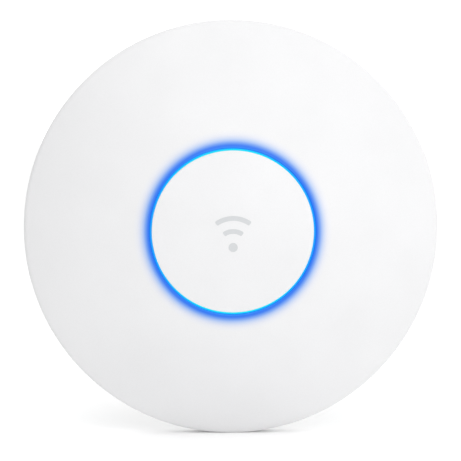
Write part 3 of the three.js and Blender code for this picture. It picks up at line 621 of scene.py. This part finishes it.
@dataclass(frozen=True)
class FlatCable(Finish):
    """Polyimide film with copper conductors that show through as stripes along it."""

    copper: str = "a8642c"
    pitch_mm: float = 0.8

    def tinted(self, tree: bpy.types.NodeTree, place: Socket) -> Socket:
        """Returns the film's colour, striped across X at the conductors' pitch."""
        across = add_node(tree, "ShaderNodeSeparateXYZ", {0: place}).outputs["X"]
        turns = add_node(tree, "ShaderNodeMath", {0: across, 1: 1 / (self.pitch_mm * MM)},
                         operation="MULTIPLY")
        part = add_node(tree, "ShaderNodeMath", {0: turns.outputs[0]}, operation="FRACT")
        stripe = add_node(tree, "ShaderNodeMath", {0: part.outputs[0], 1: 0.55}, operation="LESS_THAN")
        return add_node(tree, "ShaderNodeMixRGB", {
            "Fac": stripe.outputs[0], "Color1": super().tinted(tree, place), "Color2": linear(self.copper),
        }).outputs["Color"]


# Injection-moulded polycarbonate blend, spark-eroded mould: a soft white with a fine dull grain.
# The mould's real grain is about 0.1 mm, drawn at 0.6 mm so that it shows.
WHITE_MOULDING = Finish("white_pc_abs_moulding", "d8d8d9", 0.55)
# The same moulding with the ring's light painted on it next to the ring: a painted glow, deep blue fading
# out to white, in base colour and emission.
PAINTED_GLOW_MOULDING = PaintedGlowPlastic(
    "white_pc_abs_painted_glow_moulding", "d8d8d9", 0.55,
    stops=(
        GlowStop(38.4, "1888f8"), GlowStop(38.9, "0a7af4"), GlowStop(39.35, "0a6eef"),
        GlowStop(39.8, "2779ef"), GlowStop(40.75, "6f9ff1"), GlowStop(41.65, "a5c1f4"),
        GlowStop(42.6, "cad9f5"), GlowStop(43.5, "e0e6f6"), GlowStop(44.4, "edeff6"),
        GlowStop(45.4, "f3f4f7"), GlowStop(46.6, "f6f6f6"),
    ),
)
# Clear acrylic light guide with lamps behind it: a cyan line with no grain.
LIT_ACRYLIC = PaintedGlowPlastic(
    "lit_acrylic_guide", "f4fbff", 0.2, ior=1.49, grain_height_mm=0.002, sheen=0.15,
    stops=(GlowStop(37.4, "06ecfb"), GlowStop(37.95, "06b4fd"), GlowStop(38.45, "0a91f9")),
)
# Pad-printed ink: a light grey film, a shade duller than the plastic round it.
GREY_PRINT = Finish("grey_pad_print", "bfc1c3", 0.6, grain_height_mm=0.004)
# Housing moulded in the same blend, a touch greyer, from a smoother mould.
BACK_MOULDING = Finish("back_pc_abs_moulding", "cfd1d2", 0.5, grain_mm=0.8)
# Bracket moulded in glass-filled nylon: off-white with a faint mottle.
BRACKET_NYLON = Finish("bracket_nylon_moulding", "c6c8c8", 0.6, mottle=0.06)
# Printed label stock: a satin film, nearly smooth.
LABEL_FILM = Finish("satin_polyester_label", "dadad6", 0.35, grain_mm=0.4, grain_height_mm=0.003,
                    mottle=0.015)
# Green solder mask on glass cloth: glossy, with tracks and plated holes.
GREEN_LACQUER = BoardLacquer("green_solder_mask", "1b5636", 0.3, grain_mm=1.0, grain_height_mm=0.006)
# White solder mask, as boards behind a light guide have it: tracks barely show.
WHITE_LACQUER = BoardLacquer("white_solder_mask", "dedfda", 0.35, grain_mm=1.0, grain_height_mm=0.006,
                             track="cfd0cb", hole="c9b58a")
# Silicone-filled lens of a small lamp: cloudy cream.
CLOUDY_LENS = Finish("cloudy_silicone_lens", "e6dfae", 0.25, ior=1.41, grain_mm=0.3, grain_height_mm=0.004)
# Transfer-moulded epoxy: black and matt, from a sand-blasted mould.
CHIP_EPOXY = Finish("black_moulded_epoxy", "1b1c1e", 0.55, grain_mm=0.3, grain_height_mm=0.01,
                    mottle=0.1)
# Nickel plate over drawn brass: bright, with a soft wave from the drawing.
NICKEL = RolledSheet("nickel_plated_brass", "b9b6b0", 0.24, 1.0, grain_height_mm=0.004, mottle=0.04)
# Hot-dipped tinplate: silvery with dull streaks.
TINPLATE = RolledSheet("hot_dipped_tinplate", "c3c6c7", 0.34, 1.0, grain_height_mm=0.006,
                       mottle=0.06, wear=0.1)
# Aluminium sheet as it comes from the mill.
ALUMINIUM = RolledSheet("mill_rolled_aluminium", "c8cacc", 0.4, 1.0, grain_height_mm=0.008, wear=0.1)
# Zinc-plated steel, passivated: greyish with a faint warm bloom.
ZINC_STEEL = Finish("zinc_plated_steel", "9da0a3", 0.32, 1.0, grain_mm=0.5, grain_height_mm=0.004,
                    mottle=0.08)
# Gold flash over spring bronze.
GOLD_FLASH = Finish("gold_flashed_bronze", "d9b25a", 0.22, 1.0, grain_mm=0.4, grain_height_mm=0.002)
# Ceramic-filled silicone sheet: soft, chalky and greyish blue.
SILICONE_PAD = Finish("filled_silicone_sheet", "8698ac", 0.85, ior=1.41, grain_mm=0.7,
                      grain_height_mm=0.03, mottle=0.08)
# Polyester tape over a winding.
WINDING_TAPE = Finish("polyester_winding_tape", "2b2b2d", 0.35, grain_mm=1.2, grain_height_mm=0.02,
                      mottle=0.1)
# Shrunk vinyl sleeve on a capacitor's can.
VINYL_SLEEVE = Finish("shrunk_vinyl_sleeve", "232930", 0.3, grain_mm=1.5, grain_height_mm=0.01,
                      mottle=0.08)
# Natural nylon of a small socket: cream.
CREAM_NYLON = Finish("natural_nylon_moulding", "e2dcc6", 0.5, grain_mm=0.4)
# Flexible flat cable: amber film with copper stripes.
AMBER_FILM = FlatCable("amber_polyimide_film", "c08a4c", 0.3, grain_mm=0.8, grain_height_mm=0.004)
# Dark acetal of the reset button.
DARK_ACETAL = Finish("dark_acetal_moulding", "34363a", 0.4, ior=1.48, grain_mm=0.3)

FINISH_OF_SLOT: dict[str, Finish] = {
    "white_plastic": WHITE_MOULDING, "emblem_print": GREY_PRINT, "light_guide": LIT_ACRYLIC,
    "back_plastic": BACK_MOULDING, "bracket_plastic": BRACKET_NYLON, "label_film": LABEL_FILM,
    "circuit_board": GREEN_LACQUER, "ring_board": WHITE_LACQUER, "led_lens": CLOUDY_LENS,
    "chip_resin": CHIP_EPOXY, "nickel_plate": NICKEL, "tinplate": TINPLATE, "aluminium": ALUMINIUM,
    "screw_steel": ZINC_STEEL, "contact_gold": GOLD_FLASH, "thermal_pad": SILICONE_PAD,
    "transformer_tape": WINDING_TAPE, "capacitor_can": VINYL_SLEEVE, "socket_nylon": CREAM_NYLON,
    "ribbon_film": AMBER_FILM, "button_plastic": DARK_ACETAL,
}


# ------------------------------------------------------------------ the front


@dataclass
class FrontCover:
    """Domed cover with its rim, its snap bead and the ledge that carries the lit ring."""

    outer_r: float
    back_y: float
    hole_r: float
    ledge_y: float
    wall: float = 2.2 * MM
    ledge_t: float = 1.7 * MM
    ledge_r: float = 28 * MM
    dome_r: float = 202 * MM
    dome_apex: float = -34.6 * MM
    rim_y: float = -8.4 * MM
    bead: float = 1.0 * MM
    exit_half: float = 6 * MM
    exit_y: float = -7.4 * MM
    lamp_circle: float = 36.2 * MM
    window_r: float = 1.9 * MM
    screw_circle: float = 30.5 * MM
    screw_hole_r: float = 1.25 * MM

    @classmethod
    def from_frame(cls) -> FrontCover:
        """Takes the cover's sizes from the frame's nodes."""
        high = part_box("front_cover")[1]
        guide_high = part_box("light_guide_ring")[1]
        board_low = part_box("led_ring_board")[0]
        gap = 0.3 * MM
        return cls(outer_r=high[0], back_y=high[1], hole_r=guide_high[0] + gap, ledge_y=board_low[1] - gap)

    def outline(self) -> Outline:
        """Returns the cover's section as radius and y."""
        inner_r = self.outer_r - self.wall
        ledge_front = self.ledge_y - self.ledge_t
        collar_r = self.hole_r + self.wall
        dome = sphere_corners(self.dome_apex, self.dome_r, self.hole_r, self.outer_r - 0.6 * MM, 40)
        inside = sphere_corners(self.dome_apex + self.wall, self.dome_r - self.wall,
                                inner_r - 0.2 * MM, collar_r, 24)
        dome[0] = Corner(dome[0].u, dome[0].v, 0.25 * MM)
        return rounded([
            *dome,
            Corner(self.outer_r, self.rim_y, 0.5 * MM),
            Corner(self.outer_r, self.back_y, 0.5 * MM),
            Corner(inner_r, self.back_y, 0.3 * MM),
            Corner(inner_r, -5.6 * MM),
            Corner(inner_r - self.bead, -6.1 * MM, 0.15 * MM),
            Corner(inner_r - self.bead, -6.7 * MM, 0.15 * MM),
            Corner(inner_r, -7.2 * MM),
            *inside,
            Corner(collar_r, self.ledge_y, 0.3 * MM),
            Corner(self.ledge_r, self.ledge_y, 0.2 * MM),
            Corner(self.ledge_r, ledge_front, 0.2 * MM),
            Corner(self.hole_r, ledge_front, 0.2 * MM),
        ])

    def build(self) -> None:
        """Makes the cover with its cable exit, its lamp windows and its screw holes."""
        cover = turned("front_cover_shell", self.outline())
        exit_outline = box_outline((-self.exit_half, self.exit_half),
                                   (self.outer_r - 6 * MM, self.outer_r + 2 * MM))
        ledge = (self.ledge_y, self.ledge_y - self.ledge_t)
        windows = [bore("window", self.window_r, polar(self.lamp_circle, angle), ledge, 0.15 * MM)
                   for angle in LAMP_ANGLES]
        holes = [bore("hole", self.screw_hole_r, polar(self.screw_circle, angle), ledge, 0.2 * MM)
                 for angle in CAP_SCREW_ANGLES]
        combine(cover, [slab("exit_tool", exit_outline, 2 * MM, self.exit_y),
                        gathered("windows", windows), gathered("holes", holes)], Cut.REMOVE)
        smooth(cover)
        # The cover's material paints the ring's light on it as a blue glow next to the hole.
        coat(cover, PAINTED_GLOW_MOULDING.build())
        fit(cover, Body.ACCESS_POINT, "white_plastic", "front_cover")


@dataclass
class CentreCap:
    """Shallow domed cap over the middle, with the neutral signal mark printed on it."""

    radius: float
    face_y: float
    edge_y: float = -31.85 * MM
    thickness: float = 1.8 * MM
    post_y: float = -27.4 * MM
    post_r: float = 2.6 * MM
    post_circle: float = 30.5 * MM
    mark_foot: float = -7.0 * MM
    print_height: float = 0.03 * MM

    @classmethod
    def from_frame(cls) -> CentreCap:
        """Takes the cap's sizes from the frame's node."""
        low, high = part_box("centre_cap")
        return cls(radius=high[0], face_y=low[1], post_y=high[1])

    @property
    def sphere(self) -> float:
        """Radius of the sphere that the cap's face is part of."""
        rise = self.edge_y - self.face_y
        return (self.radius ** 2 + rise ** 2) / (2 * rise)

    def build(self) -> None:
        """Makes the cap and its mark."""
        face = sphere_corners(self.face_y, self.sphere, 0.0, self.radius, 24)
        back = sphere_corners(self.face_y + self.thickness, self.sphere, self.radius, 0.0, 12)
        face[-1] = Corner(face[-1].u, face[-1].v, 0.35 * MM)
        back[0] = Corner(back[0].u, back[0].v, 0.3 * MM)
        cap = turned("centre_cap_disc", rounded([*face, *back]))
        posts = [pin("post", self.post_r, polar(self.post_circle, angle), self.post_y, self.edge_y)
                 for angle in CAP_SCREW_ANGLES]
        combine(cap, [gathered("posts", posts)], Cut.JOIN)
        smooth(cap)
        coat(cap, WHITE_MOULDING.build())
        fit(cap, Body.ACCESS_POINT, "white_plastic", "centre_cap")
        self.print_mark()

    def print_mark(self) -> None:
        """Prints the dot and the two arcs on the cap's face."""
        outlines = {
            "emblem_dot": arc_points(2.1 * MM, 0, 350, 35),
            "emblem_inner_arc": self.bow(7.4 * MM),
            "emblem_outer_arc": self.bow(13.4 * MM),
        }
        for node, outline in outlines.items():
            placed = [(x, z + self.mark_foot) for x, z in outline]
            nearest = min(math.hypot(x, z) for x, z in placed)
            front = sphere_height(self.face_y, self.sphere, nearest) - self.print_height
            ink_film = slab(node + "_print", placed, front + 0.3 * MM, front)
            smooth(ink_film)
            coat(ink_film, GREY_PRINT.build())
            fit(ink_film, Body.ACCESS_POINT, "emblem_print", node)

    def bow(self, radius: float) -> Outline:
        """Returns the outline of one arc of the mark, with round ends."""
        half, spread = 1.1 * MM, 36.0
        steps = int(radius * math.radians(2 * spread) / MM)
        outer = arc_points(radius + half, 90 - spread, 90 + spread, steps)
        inner = arc_points(radius - half, 90 + spread, 90 - spread, steps)
        return rounded([Corner(*outer[0], 0.6 * MM)] + [Corner(*p) for p in outer[1:-1]]
                       + [Corner(*outer[-1], 0.6 * MM), Corner(*inner[0], 0.6 * MM)]
                       + [Corner(*p) for p in inner[1:-1]] + [Corner(*inner[-1], 0.6 * MM)])


@dataclass
class LightRing:
    """Clear ring with an L section, whose lip shows as a lit line round the cap."""

    inner_r: float
    outer_r: float
    back_y: float
    lip_y: float
    lip_r: float

    @classmethod
    def from_frame(cls) -> LightRing:
        """Takes the ring's sizes from the frame's nodes."""
        low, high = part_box("light_guide_ring")
        cap_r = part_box("centre_cap")[1][0]
        return cls(inner_r=34.3 * MM, outer_r=high[0], back_y=high[1], lip_y=low[1], lip_r=cap_r + 0.2 * MM)

    def build(self) -> None:
        """Makes the lit ring."""
        shelf_y = self.back_y - 2 * MM
        guide = turned("light_guide", rounded([
            Corner(self.inner_r, self.back_y, 0.2 * MM),
            Corner(self.outer_r, self.back_y, 0.2 * MM),
            Corner(self.outer_r, self.lip_y, 0.12 * MM),
            Corner(self.lip_r, self.lip_y, 0.12 * MM),
            Corner(self.lip_r, shelf_y, 0.2 * MM),
            Corner(self.inner_r, shelf_y, 0.2 * MM),
        ]))
        smooth(guide)
        coat(guide, LIT_ACRYLIC.build())
        fit(guide, Body.ACCESS_POINT, "light_guide", "light_guide_ring")


# ------------------------------------------------------------------ the back


@dataclass
class BackHousing:
    """Round back shell with the bracket's recess, its lugs, the bay's opening and the channel."""

    back_y: float
    edge_r: float
    front_y: float
    recess_r: float = 52.9 * MM
    recess_y: float = -5.2 * MM
    floor_t: float = 2.0 * MM
    lug_r: float = 50.4 * MM
    lug_t: float = 1.6 * MM
    lug_half: float = 12.0
    bay_x: Span = (-26 * MM, 26 * MM)
    bay_z: Span = (20 * MM, 59 * MM)
    bay_wall: float = 2.0 * MM
    channel_half: float = 9 * MM
    boss_r: float = 3.4 * MM
    boss_circle: float = 61 * MM
    boss_hole_r: float = 1.8 * MM
    nose_angle: float = 0.65
    twist: float = 28.0

    @classmethod
    def from_frame(cls) -> BackHousing:
        """Takes the housing's sizes from the frame's nodes."""
        low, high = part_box("back_housing")
        return cls(back_y=high[1], edge_r=high[0], front_y=low[1])

    def outline(self) -> Outline:
        """Returns the shell's section as radius and y."""
        plate_y, floor_y = self.back_y - self.floor_t, self.recess_y - self.floor_t
        collar_r, edge = self.recess_r + self.floor_t, self.edge_r
        return rounded([
            Corner(0.0, self.recess_y),
            Corner(self.recess_r, self.recess_y, 0.3 * MM),
            Corner(self.recess_r, self.back_y, 0.5 * MM),
            Corner(edge, self.back_y, 0.4 * MM),
            Corner(edge, -5.5 * MM, 0.1 * MM),
            Corner(edge - 0.6 * MM, -5.9 * MM),
            Corner(edge - 0.6 * MM, -6.9 * MM),
            Corner(edge, -7.2 * MM, 0.1 * MM),
            Corner(edge - 0.4 * MM, -7.6 * MM, 0.1 * MM),
            Corner(edge - self.floor_t, -7.6 * MM, 0.2 * MM),
            Corner(edge - self.floor_t, plate_y, 0.4 * MM),
            Corner(collar_r, plate_y, 0.4 * MM),
            Corner(collar_r, floor_y, 0.3 * MM),
            Corner(0.0, floor_y),
        ])

    def additions(self) -> list[bpy.types.Object]:
        """Makes the skirt of the bay, the notch's boss and the screw bosses, clear of the recess."""
        start_y, floor_y = self.back_y - MM, self.recess_y - self.floor_t
        skirt = slab("skirt", box_outline(
            (self.bay_x[0] - self.bay_wall, self.bay_x[1] + self.bay_wall),
            (self.bay_z[0] - self.bay_wall, self.bay_z[1] + self.bay_wall), MM), start_y, floor_y)
        notch_boss = slab("notch_boss", sector_outline(
            self.recess_r + MM, self.recess_r + 4 * MM, self.nose_angle - self.twist - 6,
            self.nose_angle + 7), start_y, floor_y)
        bosses = [pin("boss", self.boss_r, polar(self.boss_circle, angle),
                      self.back_y - 1.5 * MM, self.front_y) for angle in BOARD_SCREW_ANGLES]
        parts = [skirt, notch_boss, gathered("bosses", bosses)]
        for part in parts:
            soften(part, 0.2 * MM)
            recess = pin("recess", self.recess_r, (0.0, 0.0), MM, self.recess_y, TURN_STEPS)
            combine(part, [recess], Cut.REMOVE)
        return parts

    def openings(self) -> list[bpy.types.Object]:
        """Makes the tools for the bay, the channel, the screw holes and the lever's notch."""
        half = self.channel_half
        bay = slab("bay", box_outline(self.bay_x, self.bay_z, 0.6 * MM), MM, -20 * MM)
        channel = slab("channel", box_outline((-half, half), (self.bay_z[1] - MM, self.edge_r + MM)),
                       MM, -9.2 * MM)
        holes = [pin("hole", self.boss_hole_r, polar(self.boss_circle, angle),
                     self.recess_y - self.floor_t + 0.7 * MM, self.front_y - MM)
                 for angle in BOARD_SCREW_ANGLES]
        notch = slab("notch", self.notch_outline(), self.recess_y + 2.3 * MM, self.recess_y)
        return [bay, channel, gathered("holes", holes), notch]

    def notch_outline(self) -> Outline:
        """Returns the outline of the notch: a steep end, then a ramp over the whole twist."""
        deepest, lead, steps = self.recess_r + 1.4 * MM, 3.0, 24
        outline = [polar(self.recess_r - 1.5 * MM, self.nose_angle + lead)]
        for i in range(steps + 1):
            angle = self.nose_angle + lead - i / steps * (self.twist + lead)
            climb = max(0.0, (self.nose_angle - angle) / self.twist)
            outline.append(polar(deepest - climb * (deepest - self.recess_r - 0.1 * MM), angle))
        return outline + [polar(self.recess_r - 1.5 * MM, self.nose_angle - self.twist)]

    def build(self) -> None:
        """Makes the housing."""
        shell = turned("back_shell", self.outline())
        combine(shell, self.additions(), Cut.JOIN)
        combine(shell, self.openings(), Cut.REMOVE)
        lugs = [slab("lug", sector_outline(self.lug_r, self.recess_r + MM, middle - self.lug_half,
                                           middle + self.lug_half), self.back_y, self.back_y - self.lug_t)
                for middle in QUARTERS]
        lugs = gathered("lugs", lugs)
        soften(lugs, 0.2 * MM)
        combine(shell, [lugs], Cut.JOIN)
        smooth(shell)
        coat(shell, BACK_MOULDING.build())
        fit(shell, Body.ACCESS_POINT, "back_plastic", "back_housing")


@dataclass
class Bracket:
    """Round mounting plate with its rim, bayonet tabs, screw holes, cable window and lever post."""

    radius: float
    back_y: float
    post_y: float
    plate_t: float = 2.5 * MM
    rim_inner: float = 44 * MM
    rim_y: float = -4.5 * MM
    tab_inner: float = 48 * MM
    tab_outer: float = 52.4 * MM
    tab_back: float = -3.1 * MM
    tab_span: Span = (-16.0, 12.0)
    stop_back: float = -1.2 * MM
    stop_span: float = 3.5
    hole_r: float = 2.2 * MM
    hole_circle: float = 38 * MM
    window_x: Span = (-20 * MM, 20 * MM)
    window_z: Span = (22 * MM, 46 * MM)
    pocket_x: Span = (42 * MM, 53 * MM)
    pocket_z: Span = (-16 * MM, 7 * MM)
    post: Place = (46.5 * MM, -9 * MM)
    post_r: float = 1.5 * MM

    @classmethod
    def from_frame(cls) -> Bracket:
        """Takes the bracket's sizes from the frame's node."""
        low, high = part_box("mounting_bracket")
        return cls(radius=50 * MM, back_y=high[1], post_y=low[1])

    def build(self) -> None:
        """Makes the bracket."""
        plate_y = self.back_y - self.plate_t
        plate = turned("bracket_plate", rounded([
            Corner(0.0, self.back_y),
            Corner(self.radius, self.back_y, 0.4 * MM),
            Corner(self.radius, self.rim_y, 0.4 * MM),
            Corner(self.rim_inner, self.rim_y, 0.4 * MM),
            Corner(self.rim_inner, plate_y, 0.5 * MM),
            Corner(0.0, plate_y),
        ]))
        combine(plate, self.tabs(), Cut.JOIN)
        holes = [bore("hole", self.hole_r, polar(self.hole_circle, angle), (self.back_y, plate_y), 0.3 * MM)
                 for angle in QUARTERS]
        window = slab("window", box_outline(self.window_x, self.window_z, 4 * MM), MM, plate_y - MM)
        pocket = slab("pocket", box_outline(self.pocket_x, self.pocket_z, MM), plate_y, self.rim_y - MM)
        combine(plate, [gathered("holes", holes), window, pocket], Cut.REMOVE)
        post = pin("post", self.post_r, self.post, self.back_y - MM, self.post_y)
        soften(post, 0.15 * MM)
        combine(plate, [post], Cut.JOIN)
        smooth(plate)
        coat(plate, BRACKET_NYLON.build())
        fit(plate, Body.BRACKET, "bracket_plastic", "mounting_bracket")

    def tabs(self) -> list[bpy.types.Object]:
        """Makes the four tabs and the stops at their ends."""
        tabs, stops = [], []
        for middle in QUARTERS:
            start, end = middle + self.tab_span[0], middle + self.tab_span[1]
            tabs.append(slab("tab", sector_outline(self.tab_inner, self.tab_outer, start, end),
                             self.tab_back, self.rim_y))
            stops.append(slab("stop", sector_outline(self.tab_inner, self.tab_outer - 0.05 * MM, start,
                                                     start + self.stop_span), self.stop_back,
                              self.rim_y + 0.05 * MM))
        groups = [gathered("tabs", tabs), gathered("stops", stops)]
        for group in groups:
            soften(group, 0.15 * MM)
        return groups


@dataclass(frozen=True)
class PartKind:
    """Small parts of one kind: their nodes, body and slot, and how far their edges are rounded."""

    nodes: tuple[str, ...]
    slot: str
    edge_mm: float = 0.15
    body: Body = Body.ACCESS_POINT

    def build(self) -> None:
        """Makes a rounded copy of each node, with its slot's finish."""
        for node in self.nodes:
            piece = refined(node, node + "_detail", self.edge_mm * MM)
            coat(piece, FINISH_OF_SLOT[self.slot].build())
            fit(piece, self.body, self.slot, node)


BACK_PARTS = (
    PartKind(("port_bay_tray", "cable_trough"), "back_plastic", 0.3),
    PartKind(("cable_exit_cover",), "back_plastic", 0.25, Body.EXIT_CLIP),
    PartKind(("blank_rating_label",), "label_film", 0.04),
    PartKind(("lock_lever",), "bracket_plastic", 0.12, Body.LEVER),
    PartKind(("reset_plunger",), "button_plastic", 0.15, Body.RESET),
)
BOARD_PARTS = (
    PartKind(("main_board",), "circuit_board", 0.1),
    PartKind(("led_ring_board",), "ring_board", 0.1),
    PartKind(("heat_spreader",), "aluminium", 0.2),
    PartKind(("ethernet_jack_main", "ethernet_jack_secondary"), "nickel_plate", 0.2),
    PartKind(("ethernet_transformer_main", "ethernet_transformer_secondary"), "chip_resin", 0.3),
    PartKind(("processor", "memory_chip", "radio_chip_2g", "radio_chip_5g"), "chip_resin", 0.1),
    PartKind(("radio_shield_2g", "radio_shield_5g"), "tinplate", 0.08),
    PartKind(("thermal_pad_processor", "thermal_pad_2g", "thermal_pad_5g"), "thermal_pad", 0.15),
    PartKind(("power_transformer",), "transformer_tape", 0.6),
    PartKind(("power_capacitor",), "capacitor_can", 0.4),
    PartKind(("reset_switch", "led_ribbon_socket"), "socket_nylon", 0.15),
    PartKind(tuple(f"led_{i}" for i in range(1, 9)), "led_lens", 0.15),
    PartKind(tuple(f"antenna_{band}_{i}" for band in ("2g", "5g") for i in (1, 2, 3)), "tinplate", 0.06),
    PartKind(tuple(f"cap_screw_{i}" for i in (1, 2, 3)), "screw_steel", 0.12),
    PartKind(tuple(f"board_screw_{i}" for i in (1, 2, 3, 4)), "screw_steel", 0.12),
    PartKind(("jack_contacts_main", "jack_contacts_secondary"), "contact_gold", 0.04),
    PartKind(("led_ribbon_cable",), "ribbon_film", 0.03),
)


# ------------------------------------------------------------------ studio


@dataclass
class Studio:
    """Pale floor, soft light and the camera."""

    rim_low: float
    distance: float = 0.79
    azimuth: float = 1.84
    elevation: float = 4.31
    aim: tuple[float, float, float] = (-0.00028, -0.005, -0.00142)
    lens: float = 129.0
    sky: float = 1.2
    left_sky: float = 0.05
    top_power: float = 3.6
    front_power: float = 4.4
    floor_tone: str = "fbfbfb"

    def build(self) -> None:
        """Sets floor, light and camera."""
        self.lay_floor()
        self.light()
        self.place_camera()

    def lay_floor(self) -> None:
        """Lays a wide matt floor under the rim."""
        clear_selection()
        bpy.ops.mesh.primitive_plane_add(size=12, location=(0, 0, self.rim_low))
        floor = bpy.context.object
        floor.name = "floor"
        paper = Finish("white_paper_sweep", self.floor_tone, 0.9, grain_mm=2.0, mottle=0.002, wear=0.02)
        coat(floor, paper.build())
        floor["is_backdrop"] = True

    def light(self) -> None:
        """Lights the room evenly but for its left side, with soft panels above and in front."""
        world = bpy.data.worlds.new("studio")
        bpy.context.scene.world = world
        world.use_nodes = True
        tree = world.node_tree
        back = tree.nodes["Background"]
        back.inputs["Color"].default_value = (1.0, 1.0, 1.0, 1.0)
        toward = add_node(tree, "ShaderNodeTexCoord").outputs["Generated"]
        leftness = add_node(tree, "ShaderNodeVectorMath", {0: toward, 1: (-0.94, -0.3, -0.15)},
                            operation="DOT_PRODUCT").outputs["Value"]
        strength = add_node(tree, "ShaderNodeMapRange", {
            "Value": leftness, "From Min": 0.3, "From Max": 0.8,
            "To Min": self.sky, "To Max": self.left_sky}, interpolation_type="SMOOTHSTEP").outputs["Result"]
        # The dark side only shapes the light on the object: the backdrop itself stays white.
        seen = add_node(tree, "ShaderNodeLightPath").outputs["Is Camera Ray"]
        backdrop = add_node(tree, "ShaderNodeMath", {0: seen, 1: self.sky}, operation="MULTIPLY").outputs[0]
        level = add_node(tree, "ShaderNodeMath", {0: strength, 1: backdrop}, operation="MAXIMUM").outputs[0]
        tree.links.new(level, back.inputs["Strength"])
        self.panel("top", (-0.2, -0.7, 1.3), 0.9, self.top_power)
        self.panel("front", (0.1, -1.45, 0.35), 0.8, self.front_power)

    def panel(self, name: str, place: tuple[float, float, float], size: float, power: float) -> None:
        """Hangs a square soft light that looks at the object."""
        clear_selection()
        bpy.ops.object.light_add(type="AREA", location=place)
        lamp = bpy.context.object
        lamp.name = name
        lamp.data.size = size
        lamp.data.energy = power
        lamp.rotation_euler = (-Vector(place)).to_track_quat("-Z", "Y").to_euler()

    def place_camera(self) -> None:
        """Sets the camera a little above and to the left of the turning axis."""
        side, up = math.radians(self.azimuth), math.radians(self.elevation)
        arm = Vector((-math.sin(side) * math.cos(up), -math.cos(side) * math.cos(up), math.sin(up)))
        data = bpy.data.cameras.new("camera")
        data.lens = self.lens
        camera = bpy.data.objects.new("camera", data)
        camera.location = Vector(self.aim) + arm * self.distance
        camera.rotation_euler = (-arm).to_track_quat("-Z", "Y").to_euler()
        bpy.context.scene.collection.objects.link(camera)
        bpy.context.scene.camera = camera
        bpy.context.scene.view_settings.view_transform = "Standard"


def dress_frame() -> None:
    """Gives every node that is carried over the finish of its slot."""
    for kind in BACK_PARTS + BOARD_PARTS:
        for name in kind.nodes:
            coat(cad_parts[name], FINISH_OF_SLOT[kind.slot].build())
    shells = {"front_cover": "white_plastic", "centre_cap": "white_plastic", "back_housing": "back_plastic",
              "light_guide_ring": "light_guide", "mounting_bracket": "bracket_plastic",
              "emblem_dot": "emblem_print", "emblem_inner_arc": "emblem_print",
              "emblem_outer_arc": "emblem_print"}
    for name, slot in shells.items():
        coat(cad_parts[name], FINISH_OF_SLOT[slot].build())


def main() -> None:
    """Builds the object and its studio."""
    logging.basicConfig(level=logging.INFO, format="%(name)s: %(message)s")
    cad_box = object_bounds()
    dress_frame()
    for part in (FrontCover.from_frame(), CentreCap.from_frame(), LightRing.from_frame(),
                 BackHousing.from_frame(), Bracket.from_frame(), *BACK_PARTS, *BOARD_PARTS):
        part.build()
    Studio(rim_low=cad_box[0][2]).build()


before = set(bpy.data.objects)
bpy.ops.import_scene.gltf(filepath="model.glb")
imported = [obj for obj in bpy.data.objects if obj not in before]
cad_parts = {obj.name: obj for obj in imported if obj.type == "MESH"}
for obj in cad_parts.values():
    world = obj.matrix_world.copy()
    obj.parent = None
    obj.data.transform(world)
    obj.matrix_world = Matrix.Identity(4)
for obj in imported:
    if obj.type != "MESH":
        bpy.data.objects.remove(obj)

if __name__ == "__main__":
    main()
